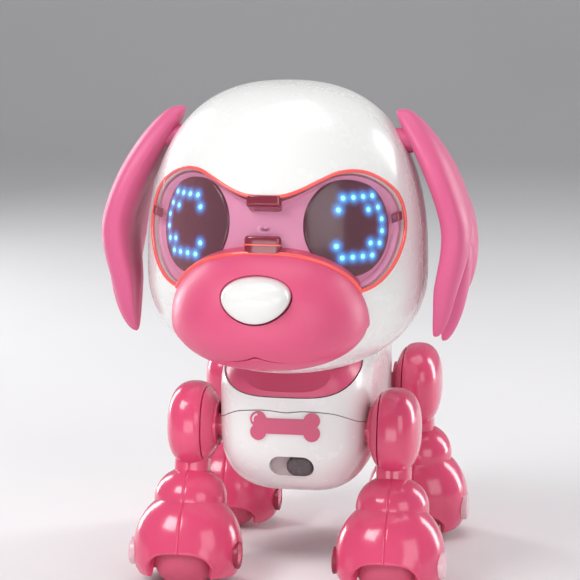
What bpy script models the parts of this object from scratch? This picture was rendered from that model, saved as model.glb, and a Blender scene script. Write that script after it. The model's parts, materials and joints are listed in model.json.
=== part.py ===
"""A toy robot dog: a round head with light-up eyes on a small body, and four jointed legs with rolling paws.

Metres, +Z up, nose towards -Y. Rounded forms are drawn at full size, then hollowed, parted and pierced.
"""

import math

import bmesh
import bpy
from mathutils import Matrix, Vector

# Fits
GAP = 0.0003                # between pieces that touch or slide
RUNNING_GAP = 0.00035       # round a pin, hub or axle that turns

# Head: round in plan, fuller above its widest level than below it
HEAD_RADIUS = 0.0340
HEAD_CENTRE_Y = -0.0325
HEAD_WIDEST_Z = 0.0806
HEAD_RISE = 0.0454
HEAD_DROP = 0.0250
HEAD_TOP_POWER = 2.5
HEAD_BOTTOM_POWER = 2.2
HEAD_WALL = 0.0018
HEAD_SEAM_FORWARD = 0.0060  # seam plane of the two shells, ahead of the head's centre

# Face window and what lies behind it
VISOR_PROUD = 0.0003
VISOR_WALL = 0.0014
VISOR_EDGE_ANGLE = 66.0
MASK_DEPTH = 0.0030
MASK_WALL = 0.0012
MASK_MARGIN = 0.0015
EYE_ANGLE = 37.0
EYE_Z = 0.0942
EYE_RADIUS = 0.0113
EYE_DEPTH = 0.0026
EYE_THICKNESS = 0.0020

# Muzzle, jaw and nose button
SNOUT_CENTRE_Y = -0.0545
SNOUT_CENTRE_Z = 0.0725
SNOUT_HALF_WIDTH = 0.0233
SNOUT_REACH = 0.0228
SNOUT_RISE = 0.0190
SNOUT_DROP = 0.0125
SNOUT_WALL = 0.0016
JAW_INSET = 0.0010
MOUTH_Z = 0.0660
NOSE_Z = 0.0798
NOSE_HALF_WIDTH = 0.0078
NOSE_HALF_HEIGHT = 0.0053
NOSE_PROUD = 0.0020
NOSE_TRAVEL = 0.0010
NOSE_STEM_RADIUS = 0.0020
SWITCH_SIDE = 0.0060
MICROPHONE_RADIUS = 0.0021
MICROPHONE_Y = -0.0654

# Ears
EAR_PIN_Y = -0.0310
EAR_PIN_Z = 0.1120
EAR_THICKNESS = 0.0080
EAR_PIN_RADIUS = 0.0014
EAR_OUTSIDE = 0.0457
EAR_WIDEST_Z = 0.0840

# Body
BODY_HALF_WIDTH = 0.0194
BODY_HALF_LENGTH = 0.0360
BODY_HALF_HEIGHT = 0.0195
BODY_CENTRE_Y = -0.0010
BODY_CENTRE_Z = 0.0395
BODY_PLAN_POWER = 4.0
BODY_TOP_POWER = 6.0
BODY_BELLY_POWER = 2.8
BODY_WALL = 0.0018
BELLY_Z = 0.0215
BELLY_FLOOR = 0.0024
NECK_Y = -0.0250
NECK_RADIUS = 0.0060
SCOOP_HALF_WIDTH = 0.0174
SCOOP_HALF_LENGTH = 0.0240
SCOOP_DEPTH = 0.0178
SCOOP_CENTRE_Y = -0.0380
SCOOP_CENTRE_Z = 0.0688
SCOOP_WALL = 0.0018
SCOOP_POWER = 3.6
COLLAR_RIM = 0.0009
COLLAR_CENTRE_Y = -0.0500
COLLAR_REACH = 0.0200
COLLAR_DEPTH = 0.0208
POST_FLANGE = 0.0014
BADGE_Z = 0.0420
BADGE_LENGTH = 0.0173
BADGE_KNOB_RADIUS = 0.0020
BADGE_PROUD = 0.0007
BADGE_SEAT = 0.0006
SLOT_X = 0.0013
SLOT_Z = 0.0315
SLOT_LENGTH = 0.0111
SLOT_HEIGHT = 0.0055
KNOB_TRAVEL = 0.0040
CELL_RADIUS = 0.0058
CELL_HEIGHT = 0.0054
CELL_COUNT = 3
CELLS_Y = 0.0080
COVER_HALF_WIDTH = 0.0102
COVER_THICKNESS = 0.0010
SPEAKER_RADIUS = 0.0095
SPEAKER_HEIGHT = 0.0040
TAIL_LENGTH = 0.0150
TAIL_RADIUS = 0.0034

# Legs, in a leg's own frame: the hip's axis is the origin and the foot points down
HIP_Y = 0.0235
LEG_TILT = 8.0
LEG_X = 0.0255
THIGH_HALF_THICKNESS = 0.0063
THIGH_HALF_LENGTH = 0.0110
THIGH_HALF_HEIGHT = 0.0106
THIGH_WALL = 0.0016
THIGH_SPLIT = 0.0042        # inwards from the leg's middle plane
HUB_RADIUS = 0.0030
KNEE_Y = -0.0010
KNEE_DROP = 0.0070
KNEE_PIN_RADIUS = 0.0016
TONGUE_RADIUS = 0.0052
TONGUE_HALF_THICKNESS = 0.0030
BALL_Y = -0.0025
BALL_DROP = 0.0189
BALL_HALF_WIDTH = 0.0090
BALL_HALF_HEIGHT = 0.0080
PAW_Y = -0.0045
PAW_DROP = 0.0320
PAW_HALF_WIDTH = 0.0137
PAW_HALF_LENGTH = 0.0124
PAW_RISE = 0.0155
PAW_SKIRT = 0.0052
WHEEL_ROOM = 0.0007
WHEEL_RADIUS = 0.0082
WHEEL_FORWARD = 0.0025
WHEEL_HALF_WIDTH = 0.0078
AXLE_RADIUS = 0.0015
CAP_RADIUS = 0.0035

# Colours and finishes: linear colour, roughness
WHITE = (0.88, 0.88, 0.86), 0.30
PINK = (0.78, 0.09, 0.22), 0.28
SOFT_PINK = (0.72, 0.12, 0.27), 0.42
LILAC_PINK = (0.66, 0.28, 0.42), 0.40
DARK = (0.05, 0.02, 0.035), 0.25
BOARD_GREEN = (0.02, 0.16, 0.06), 0.50
BLACK = (0.015, 0.015, 0.017), 0.45
DARK_GREY = (0.08, 0.07, 0.075), 0.45
CAP_PINK = (0.80, 0.50, 0.58), 0.40
CLEAR_PINK = (0.85, 0.30, 0.35), 0.08
METAL = (0.62, 0.62, 0.60), 0.30


def clear_scene():
    for old in list(bpy.data.objects):
        bpy.data.objects.remove(old)


def scratch(bm):
    """A new object that holds this mesh, faces out, for cutting and joining."""
    bmesh.ops.recalc_face_normals(bm, faces=bm.faces)
    if bm.calc_volume(signed=True) < 0:
        bmesh.ops.reverse_faces(bm, faces=bm.faces)
    mesh = bpy.data.meshes.new("form")
    bm.to_mesh(mesh)
    bm.free()
    form = bpy.data.objects.new("form", mesh)
    bpy.context.scene.collection.objects.link(form)
    return form


def combine(operation, target, tools):
    """Applies one exact boolean for each tool and removes the tool."""
    for tool in tools:
        modifier = target.modifiers.new(operation, "BOOLEAN")
        modifier.operation = operation
        modifier.solver = "EXACT"
        modifier.object = tool
        bpy.context.view_layer.update()
        result = target.evaluated_get(bpy.context.evaluated_depsgraph_get())
        mesh = bpy.data.meshes.new_from_object(result)
        target.modifiers.clear()
        target.data = mesh
        bpy.data.objects.remove(tool)
    return target


def cut(target, *tools):
    return combine("DIFFERENCE", target, tools)


def keep(target, *tools):
    return combine("INTERSECT", target, tools)


def join(target, *tools):
    return combine("UNION", target, tools)


def node(form, name, finish, metallic=0.0):
    """Names a finished form, gives it its own material and shades its round faces smooth."""
    colour, roughness = finish
    bm = bmesh.new()
    bm.from_mesh(form.data)
    bmesh.ops.remove_doubles(bm, verts=bm.verts, dist=1e-6)
    bmesh.ops.dissolve_degenerate(bm, edges=bm.edges, dist=1e-6)
    bm.to_mesh(form.data)
    bm.free()
    material = bpy.data.materials.new(name)
    material.use_nodes = True
    shader = material.node_tree.nodes["Principled BSDF"]
    shader.inputs["Base Color"].default_value = (*colour, 1.0)
    shader.inputs["Roughness"].default_value = roughness
    shader.inputs["Metallic"].default_value = metallic
    form.data.materials.clear()
    form.data.materials.append(material)
    form.data.shade_smooth()
    form.data.set_sharp_from_angle(angle=math.radians(32))
    form.name = name
    form.data.name = name
    return form


def shaped_ball(shape, segments, rings):
    """A ball whose points, as unit directions, are moved to where shape puts them."""
    bm = bmesh.new()
    bmesh.ops.create_uvsphere(bm, u_segments=segments, v_segments=rings, radius=1.0)
    for vert in bm.verts:
        vert.co = shape(vert.co.copy())
    return scratch(bm)


def rounded(centre, radii, power=2.0, segments=20, rings=10):
    """A solid where |x/a|^n + |y/b|^n + |z/c|^n = 1. A fourth radius is the half height below the centre."""
    def shape(direction):
        size = sum(abs(part) ** power for part in direction) ** (1 / power)
        half_height = radii[2] if direction.z > 0 else radii[-1]
        return Vector(centre) + Vector((
            direction.x / size * radii[0],
            direction.y / size * radii[1],
            direction.z / size * half_height,
        ))
    return shaped_ball(shape, segments, rings)


def prism(outline, axis, low, high):
    """An outline drawn across the axis, in X, Y, Z order of the other two, carried from low to high."""
    bm = bmesh.new()
    face = bm.faces.new([bm.verts.new((across, up, low)) for across, up in outline])
    grown = bmesh.ops.extrude_face_region(bm, geom=[face])
    for vert in grown["geom"]:
        if isinstance(vert, bmesh.types.BMVert):
            vert.co.z = high
    order = {"X": (2, 0, 1), "Y": (0, 2, 1), "Z": (0, 1, 2)}[axis]
    for vert in bm.verts:
        vert.co = Vector([vert.co[index] for index in order])
    return scratch(bm)


def arc(centre, radius, start, end, steps):
    """Points on a circle from one angle to another, in degrees, anticlockwise from the first axis."""
    angles = [math.radians(start + (end - start) * step / steps) for step in range(steps + 1)]
    return [(centre[0] + radius * math.cos(a), centre[1] + radius * math.sin(a)) for a in angles]


def rod(axis, centre, radius, low, high, sides=16):
    return prism(arc(centre, radius, 0, 360, sides)[:-1], axis, low, high)


def block(low, high):
    outline = [(low[0], low[1]), (high[0], low[1]), (high[0], high[1]), (low[0], high[1])]
    return prism(outline, "Z", low[2], high[2])


# Head ------------------------------------------------------------------------------------------

def head_form(offset=0.0, segments=26, rings=13):
    """The head's round form grown by offset: r^n + z^n = 1 above and below its widest level."""
    def shape(direction):
        power = HEAD_TOP_POWER if direction.z >= 0 else HEAD_BOTTOM_POWER
        reach = (HEAD_RISE if direction.z >= 0 else HEAD_DROP) + offset
        across = math.hypot(direction.x, direction.y)
        ring = across ** (2 / power) * (HEAD_RADIUS + offset) / max(across, 1e-9)
        rise = math.copysign(abs(direction.z) ** (2 / power) * reach, direction.z)
        place = Vector((direction.x * ring, direction.y * ring, rise))
        return place + Vector((0, HEAD_CENTRE_Y, HEAD_WIDEST_Z))
    return shaped_ball(shape, segments, rings)


def head_skin(outside, inside):
    """The head's form as a skin, from one offset to another."""
    return cut(head_form(outside), head_form(inside))


def snout_form(offset=0.0):
    radii = (SNOUT_HALF_WIDTH, SNOUT_REACH, SNOUT_RISE, SNOUT_DROP)
    centre = (0, SNOUT_CENTRE_Y, SNOUT_CENTRE_Z)
    return rounded(centre, [radius + offset for radius in radii], 2.15, 20, 11)


def face_window(margin=0.0, near=0.3, far=1.6):
    """The goggle outline as angle and height, grown by margin and carried out from the head's axis."""
    top = [(-60, 0.1020), (-52, 0.1056), (-43, 0.1072), (-30, 0.1066), (-15.5, 0.1040), (-6, 0.1024)]
    bottom = [(25, 0.0800), (33, 0.0797), (41, 0.0800), (50, 0.0820), (60, 0.0870)]
    side = [(VISOR_EDGE_ANGLE, 0.0935)]
    right = [(-angle, z) for angle, z in reversed(top)]
    left = [(-angle, z) for angle, z in reversed(bottom)]
    edge = bottom + side + [(a, z) for a, z in reversed(right)] + list(reversed(top))
    edge += [(-VISOR_EDGE_ANGLE, side[0][1])] + left
    points = [Vector((math.radians(angle) * HEAD_RADIUS, z)) for angle, z in edge]
    grown = []
    for index, point in enumerate(points):
        along = (points[(index + 1) % len(points)] - points[index - 1]).normalized()
        grown.append(point + Vector((along.y, -along.x)) * margin)
    return window(grown, near * HEAD_RADIUS, far * HEAD_RADIUS)


def window(outline, near, far):
    """A flat outline (arc length on the head, height) wrapped round the head's axis between two radii."""
    bm = bmesh.new()
    face = bm.faces.new([bm.verts.new((point[0], near, point[1])) for point in outline])
    grown = bmesh.ops.extrude_face_region(bm, geom=[face])
    for vert in grown["geom"]:
        if isinstance(vert, bmesh.types.BMVert):
            vert.co.y = far
    step = math.radians(11) * HEAD_RADIUS
    for count in range(-7, 7):
        everything = bm.verts[:] + bm.edges[:] + bm.faces[:]
        place = ((count + 0.5) * step, 0, 0)
        bmesh.ops.bisect_plane(bm, geom=everything, plane_co=place, plane_no=(1, 0, 0))
    bmesh.ops.triangulate(bm, faces=bm.faces)
    for vert in bm.verts:
        angle = vert.co.x / HEAD_RADIUS
        radius = vert.co.y
        height = vert.co.z
        vert.co = (radius * math.sin(angle), HEAD_CENTRE_Y - radius * math.cos(angle), height)
    return scratch(bm)


def along_eye(side, radius, low, high):
    """A rod that points out of the head through an eye."""
    form = rod("Y", (0, EYE_Z), radius, -high, -low, 24)
    angle = math.radians(side * EYE_ANGLE)
    form.data.transform(Matrix.Translation((0, HEAD_CENTRE_Y, 0)) @ Matrix.Rotation(angle, 4, "Z"))
    return form


def snout_passage():
    """The round way from the muzzle into the head, for the nose button's stem."""
    return rod("Y", (0, SNOUT_CENTRE_Z + 0.0035), 0.0095, -0.1, HEAD_CENTRE_Y, 24)


def head_shells():
    seam = HEAD_CENTRE_Y - HEAD_SEAM_FORWARD
    far = 0.1
    neck_hole = (0, NECK_Y), NECK_RADIUS + RUNNING_GAP
    front = head_skin(0, -HEAD_WALL)
    keep(front, block((-far, -far, 0), (far, seam - GAP / 2, 2 * far)))
    cut(front, face_window(GAP))
    cut(front, snout_passage())
    rear = head_skin(0, -HEAD_WALL)
    keep(rear, block((-far, seam + GAP / 2, 0), (far, far, 2 * far)))
    cut(rear, rod("Z", *neck_hole, 0.04, HEAD_WIDEST_Z, 20))
    for side in (-1, 1):
        cut(rear, rod("X", (EAR_PIN_Y, EAR_PIN_Z), 0.0030 + RUNNING_GAP, side * 0.010, side * 0.05))
    node(front, "head_front_shell", WHITE)
    node(rear, "head_rear_shell", WHITE)


def visor():
    form = head_skin(VISOR_PROUD, VISOR_PROUD - VISOR_WALL)
    keep(form, face_window())
    cut(form, snout_form(GAP))
    node(form, "visor", CLEAR_PINK)


def face_mask():
    form = head_skin(-MASK_DEPTH, -MASK_DEPTH - MASK_WALL)
    keep(form, face_window(MASK_MARGIN))
    for side in (-1, 1):
        cut(form, along_eye(side, EYE_RADIUS + GAP, 0.01, 0.05))
    cut(form, snout_passage())
    node(form, "face_mask", LILAC_PINK)


def eye_panels():
    for name, side in (("right", -1), ("left", 1)):
        form = head_skin(-EYE_DEPTH, -EYE_DEPTH - EYE_THICKNESS)
        keep(form, along_eye(side, EYE_RADIUS, 0.01, 0.05))
        node(form, name + "_eye_panel", DARK)


def mouth_outline(drop=0.0):
    """The space above the mouth line, which dips on each side of the middle like a flat w."""
    half = [(0.030, 0.0065), (0.0215, 0.0030), (0.018, 0.0006)]
    half += [(0.013, -0.0015), (0.0085, -0.0021), (0.004, -0.0015)]
    line = [(-x, rise) for x, rise in half] + [(0, 0)] + list(reversed(half))
    above = MOUTH_Z + 0.05
    return [(x, MOUTH_Z + rise - drop) for x, rise in line] + [(0.030, above), (-0.030, above)]


def nose_outline(margin=0.0, steps=20):
    """An egg on its side view: broad above, narrow below."""
    points = []
    for angle in [2 * math.pi * step / steps for step in range(steps)]:
        across = NOSE_HALF_WIDTH * math.cos(angle) * (1 + 0.16 * math.sin(angle))
        up = NOSE_HALF_HEIGHT * math.sin(angle)
        reach = math.hypot(across, up)
        points.append((across * (1 + margin / reach), NOSE_Z + up * (1 + margin / reach)))
    return points


def snout_and_jaw():
    far = 0.1
    snout = cut(snout_form(), snout_form(-SNOUT_WALL))
    keep(snout, prism(mouth_outline(), "Y", -far, 0))
    cut(snout, head_form(GAP), prism(nose_outline(GAP), "Y", -far, -0.062))
    node(snout, "snout_shell", PINK)
    jaw = cut(snout_form(-JAW_INSET), snout_form(-JAW_INSET - SNOUT_WALL))
    cut(jaw, prism(mouth_outline(GAP), "Y", -far, 0), head_form(GAP))
    cut(jaw, rod("Z", (0, MICROPHONE_Y), MICROPHONE_RADIUS / 3, 0.05, MOUTH_Z - 0.0010, 10))
    node(jaw, "lower_jaw", PINK)
    low = MOUTH_Z - 0.0002
    node(rod("Z", (0, MICROPHONE_Y), MICROPHONE_RADIUS, low, low + 0.0018), "microphone", METAL, 1.0)


def nose():
    """The button is a domed cap with a flange behind the muzzle's wall and a stem back to its switch."""
    front = SNOUT_CENTRE_Y - SNOUT_REACH
    board_y = -0.0560
    switch_front = board_y - GAP - 0.0038
    cap = prism(nose_outline(), "Y", front - 0.01, -0.0670)
    dome = rounded((0, -0.0680, NOSE_Z), (0.0100, -0.0680 - front + NOSE_PROUD, 0.0068), 2.4, 24, 14)
    keep(cap, dome)
    join(cap, prism(nose_outline(0.0010), "Y", -0.0677, -0.0666))
    join(cap, rod("Y", (0, NOSE_Z), NOSE_STEM_RADIUS, -0.0680, switch_front - NOSE_TRAVEL - GAP, 16))
    node(cap, "nose_button", WHITE)
    half = SWITCH_SIDE / 2
    switch = block((-half, board_y - GAP - 0.0028, NOSE_Z - half), (half, board_y - GAP, NOSE_Z + half))
    join(switch, rod("Y", (0, NOSE_Z), 0.0016, switch_front, board_y - GAP - 0.002, 16))
    node(switch, "nose_switch", BLACK)
    board = block((-0.0140, board_y, 0.0700), (0.0140, board_y + 0.0016, 0.0920))
    for x in (-0.008, 0.001, 0.008):
        join(board, block((x, board_y + 0.001, 0.074), (x + 0.004, board_y + 0.003, 0.080)))
    node(board, "head_board", BOARD_GREEN)


def ear_outline():
    """An ear seen from the side as depth and height: narrow at its pin, with a lobed lower edge."""
    top = arc((EAR_PIN_Y, EAR_PIN_Z), 0.0074, 20, 165, 8)
    front = [(-0.0405, 0.106), (-0.0430, 0.098), (-0.0440, 0.088), (-0.0435, 0.078), (-0.0425, 0.071)]
    front_lobe = arc((-0.0385, 0.0690), 0.0032, 190, 330, 5)
    tip_lobe = arc((-0.0305, 0.0682), 0.0038, 200, 345, 5)
    back_lobe = [(-0.0235, 0.0735), (-0.0205, 0.0730), (-0.0175, 0.0755)]
    back = [(-0.0155, 0.0810), (-0.0150, 0.0880), (-0.0165, 0.0960), (-0.0200, 0.1040)]
    return top + front + front_lobe + tip_lobe + back_lobe + back


def ear_reach(z):
    """How far the ear's middle lies from the centre plane: a bow that leans over the head at its top."""
    bow = 11.3 if z > EAR_WIDEST_Z else 7.5
    return EAR_OUTSIDE - EAR_THICKNESS / 2 - bow * (z - EAR_WIDEST_Z) ** 2


def drawn_in(outline, amount):
    """A closed outline, given anticlockwise or clockwise, moved inwards by an amount."""
    points = [Vector(point) for point in outline]
    area = sum(a.x * b.y - b.x * a.y for a, b in zip(points, points[1:] + points[:1]))
    amount = math.copysign(amount, area)
    moved = []
    for index, point in enumerate(points):
        along = (points[(index + 1) % len(points)] - points[index - 1]).normalized()
        moved.append(point + Vector((-along.y, along.x)) * amount)
    return moved


def ear_leaf():
    """A slab with a rounded rim on the ear's outline, bent to hang round the head."""
    edge = EAR_THICKNESS * 0.35
    rims = [(edge, 0), (0, edge)]
    rims += [(inset, EAR_THICKNESS - x) for inset, x in reversed(rims)]
    bm = bmesh.new()
    rings = [[bm.verts.new((x, *point)) for point in drawn_in(ear_outline(), inset)] for inset, x in rims]
    for near, far in zip(rings, rings[1:]):
        for index in range(len(near)):
            bm.faces.new((near[index - 1], near[index], far[index], far[index - 1]))
    bm.faces.new(rings[0])
    bm.faces.new(rings[-1])
    for level in range(1, 6):
        everything = bm.verts[:] + bm.edges[:] + bm.faces[:]
        height = EAR_PIN_Z + 0.007 - level * 0.0083
        bmesh.ops.bisect_plane(bm, geom=everything, plane_co=(0, 0, height), plane_no=(0, 0, 1))
    bmesh.ops.triangulate(bm, faces=bm.faces)
    for vert in bm.verts:
        vert.co.x += ear_reach(vert.co.z) - EAR_THICKNESS / 2
    return bm


def ears():
    for name, side in (("right", -1), ("left", 1)):
        bm = ear_leaf()
        for vert in bm.verts:
            vert.co.x *= side
        ear = scratch(bm)
        boss = rod("X", (EAR_PIN_Y, EAR_PIN_Z), 0.0030, side * 0.0235, side * 0.0320)
        join(ear, boss)
        hole = rod("X", (EAR_PIN_Y, EAR_PIN_Z), EAR_PIN_RADIUS + GAP, side * 0.0200, side * 0.0310, 16)
        cut(ear, hole)
        node(ear, name + "_ear", SOFT_PINK)
        screw = rod("X", (EAR_PIN_Y, EAR_PIN_Z), EAR_PIN_RADIUS, side * 0.0215, side * 0.0300, 16)
        join(screw, rod("X", (EAR_PIN_Y, EAR_PIN_Z), 0.0042, side * 0.0190, side * 0.0220))
        node(screw, name + "_ear_screw", METAL, 1.0)


# Body ------------------------------------------------------------------------------------------

def body_form(offset=0.0):
    """A box with rounded sides: p^q + |z/c|^q = 1, where p^n = |x/a|^n + |y/b|^n and q is larger above."""
    def shape(direction):
        power = BODY_TOP_POWER if direction.z > 0 else BODY_BELLY_POWER
        plan = sum(abs(part) ** BODY_PLAN_POWER for part in direction.xy) ** (1 / BODY_PLAN_POWER)
        size = (plan ** power + abs(direction.z) ** power) ** (1 / power)
        return Vector((
            direction.x / size * (BODY_HALF_WIDTH + offset),
            BODY_CENTRE_Y + direction.y / size * (BODY_HALF_LENGTH + offset),
            BODY_CENTRE_Z + direction.z / size * (BODY_HALF_HEIGHT + offset),
        ))
    return shaped_ball(shape, 24, 12)


def scoop_form(offset=0.0):
    radii = [size + offset for size in (SCOOP_HALF_WIDTH, SCOOP_HALF_LENGTH, SCOOP_DEPTH)]
    return rounded((0, SCOOP_CENTRE_Y, SCOOP_CENTRE_Z), radii, SCOOP_POWER, 24, 14)


def collar_hollow():
    """The hollow in the collar's front, which leaves a thin rim and rises steeply to the head."""
    half_width = SCOOP_HALF_WIDTH + SCOOP_WALL - COLLAR_RIM
    radii = (half_width * 1.06, COLLAR_REACH, COLLAR_DEPTH)
    return rounded((0, COLLAR_CENTRE_Y, SCOOP_CENTRE_Z), radii, 3.0, 24, 14)


def head_sweep():
    """The room that the head takes up as it turns on the neck, a little ahead of its own centre."""
    swing = HEAD_CENTRE_Y - NECK_Y
    grown = head_form(3 * GAP)
    wide = 1 + abs(swing) / HEAD_RADIUS
    centre = Vector((0, HEAD_CENTRE_Y, 0))
    size = Matrix.Diagonal((wide, wide, 1, 1))
    grown.data.transform(Matrix.Translation(centre) @ size @ Matrix.Translation(-centre))
    return grown


def above_seam(shift):
    """The space above the body's seam, which drops at both sides and dips in the middle."""
    half = [(0.030, 0.0012), (0.019, 0.0012), (0.0155, 0.0042), (0.012, 0.0061), (0.003, 0.0065)]
    line = [(-x, rise) for x, rise in half] + [(0, 0.0060)] + list(reversed(half))
    outline = [(x, BODY_CENTRE_Z + rise + shift) for x, rise in line] + [(0.030, 0.08), (-0.030, 0.08)]
    return prism(outline, "Y", -0.06, 0.06)


def hip_height(front):
    """Height of a hip's axis that stands its tilted leg's wheel on the ground."""
    tilt = math.radians(-LEG_TILT if front else LEG_TILT)
    wheel_y = PAW_Y - WHEEL_FORWARD
    wheel_z = -PAW_DROP
    return WHEEL_RADIUS - (wheel_y * math.sin(tilt) + wheel_z * math.cos(tilt))


def body_skin():
    hollow = keep(body_form(-BODY_WALL), block((-0.1, -0.1, BELLY_Z + BELLY_FLOOR), (0.1, 0.1, 0.1)))
    skin = cut(body_form(), hollow)
    keep(skin, block((-0.1, -0.1, BELLY_Z), (0.1, 0.1, 0.1)))
    for front in (True, False):
        y = -HIP_Y if front else HIP_Y
        cut(skin, rod("X", (y, hip_height(front)), HUB_RADIUS + RUNNING_GAP, -0.05, 0.05, 24))
    return skin


def bone_outline(margin=0.0):
    """A bone lying across the chest: a bar with two knobs at each end, whose arcs meet in the middle."""
    knob = BADGE_KNOB_RADIUS + margin
    end = BADGE_LENGTH / 2 - BADGE_KNOB_RADIUS
    lift = BADGE_KNOB_RADIUS * 0.82
    meet = math.degrees(math.asin(lift / knob))
    right = arc((end, BADGE_Z - lift), knob, -150, meet, 8)
    right += arc((end, BADGE_Z + lift), knob, -meet, 150, 8)[1:]
    return right + [(-x, 2 * BADGE_Z - z) for x, z in right]


def stadium(centre_x, centre_z, length, height):
    end = (length - height) / 2
    right = arc((centre_x + end, centre_z), height / 2, -90, 90, 8)
    return right + arc((centre_x - end, centre_z), height / 2, 90, 270, 8)


def body_shells():
    top = keep(body_skin(), above_seam(GAP / 2))
    cut(top, head_sweep())
    cut(top, scoop_form(SCOOP_WALL + GAP))
    bottom = cut(body_skin(), above_seam(-GAP / 2))
    cut(bottom, prism(stadium(SLOT_X, SLOT_Z, SLOT_LENGTH, SLOT_HEIGHT), "Y", -0.06, -0.02))
    pocket = cut(prism(bone_outline(GAP), "Y", -0.06, -0.02), body_form(-BADGE_SEAT - GAP))
    cut(bottom, pocket)
    seat_low = CELLS_Y - CELL_RADIUS - 0.0012
    seat_high = seat_low + 0.0200
    edge = COVER_HALF_WIDTH + GAP
    seat_top = BELLY_Z + COVER_THICKNESS
    cut(bottom, block((-edge, seat_low - GAP, 0), (edge, seat_high + GAP, seat_top + GAP)))
    cut(bottom, block((-0.0094, seat_low + 0.0006, 0), (0.0094, seat_low + 0.0130, 0.03)))
    screw_y = seat_high - 0.0033
    boss = rod("Z", (0, screw_y), 0.0026, BELLY_Z + BELLY_FLOOR - 0.0004, BELLY_Z + 0.0075)
    join(bottom, boss)
    cut(bottom, rod("Z", (0, screw_y), 0.0009 + GAP, 0, 0.03, 12))
    cut(bottom, rod("Y", (0, 0.0460), 0.0018 + GAP, 0.02, 0.06, 16))
    cut(top, rod("Y", (0, 0.0460), 0.0018 + GAP, 0.02, 0.06, 16))
    node(top, "body_top_shell", WHITE)
    node(bottom, "body_bottom_shell", WHITE)
    cover = block((-COVER_HALF_WIDTH, seat_low, BELLY_Z), (COVER_HALF_WIDTH, seat_high, seat_top))
    cut(cover, rod("Z", (0, screw_y), 0.0013, 0, 0.03, 12))
    cut(cover, rod("Z", (0, screw_y), 0.0022, 0, BELLY_Z + 0.0005))
    node(cover, "battery_cover", WHITE)
    screw = rod("Z", (0, screw_y), 0.0009, BELLY_Z + 0.0002, BELLY_Z + 0.0065, 12)
    join(screw, rod("Z", (0, screw_y), 0.0019, BELLY_Z, BELLY_Z + 0.0003, 16))
    node(screw, "cover_screw", METAL, 1.0)


def neck():
    cradle = cut(scoop_form(SCOOP_WALL), collar_hollow())
    keep(cradle, body_form(-GAP))
    cut(cradle, head_sweep())
    cut(cradle, rod("Z", (0, NECK_Y), NECK_RADIUS + RUNNING_GAP, 0.03, 0.07, 20))
    node(cradle, "neck_cradle", PINK)
    flange_top = SCOOP_CENTRE_Z - SCOOP_DEPTH - SCOOP_WALL - GAP
    flange_low = flange_top - POST_FLANGE
    post = rod("Z", (0, NECK_Y), NECK_RADIUS, flange_low + GAP, 0.0610, 20)
    join(post, rod("Z", (0, NECK_Y), NECK_RADIUS + 0.0022, flange_low, flange_top, 20))
    join(post, rod("Z", (0, NECK_Y), NECK_RADIUS + 0.0022, 0.0604, 0.0616, 20))
    cut(post, rod("Z", (0, NECK_Y), NECK_RADIUS - 0.0018, 0.03, 0.07, 12))
    node(post, "neck_post", PINK)


def badge_and_tail():
    badge = prism(bone_outline(), "Y", -0.06, -0.02)
    keep(badge, body_form(BADGE_PROUD))
    cut(badge, body_form(-BADGE_SEAT))
    node(badge, "bone_badge", PINK)
    tail = rounded((0, 0, 0), (TAIL_RADIUS, TAIL_RADIUS, TAIL_LENGTH / 2), 2.2, 12, 8)
    tail.data.transform(Matrix.Translation((0, 0.0372, 0.0490)) @ Matrix.Rotation(math.radians(-22), 4, "X"))
    cut(tail, body_form(GAP))
    join(tail, rod("Y", (0, 0.0460), 0.0018, 0.0305, 0.0365, 16))
    node(tail, "tail", PINK)


def power_switch():
    """A thumb knob at one end of its slot, on a carrier behind the wall, ahead of the switch's metal can."""
    half = (SLOT_LENGTH - KNOB_TRAVEL) / 2 - GAP
    centre = SLOT_X + KNOB_TRAVEL / 2
    front = BODY_CENTRE_Y - BODY_HALF_LENGTH + BODY_WALL
    outline = stadium(centre, SLOT_Z, 2 * half, SLOT_HEIGHT - 2 * GAP)
    knob = prism(outline, "Y", front - 0.0002, front + 0.0065)
    low = (centre - 0.0050, front + 0.0060, SLOT_Z - 0.0029)
    join(knob, block(low, (centre + 0.0050, front + 0.0070, SLOT_Z + 0.0029)))
    node(knob, "power_knob", DARK_GREY)
    low = (SLOT_X - 0.0055, front + 0.0073, SLOT_Z - 0.0022)
    can = block(low, (SLOT_X + 0.0055, front + 0.0112, SLOT_Z + 0.0022))
    node(can, "slide_switch", METAL, 1.0)


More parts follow.
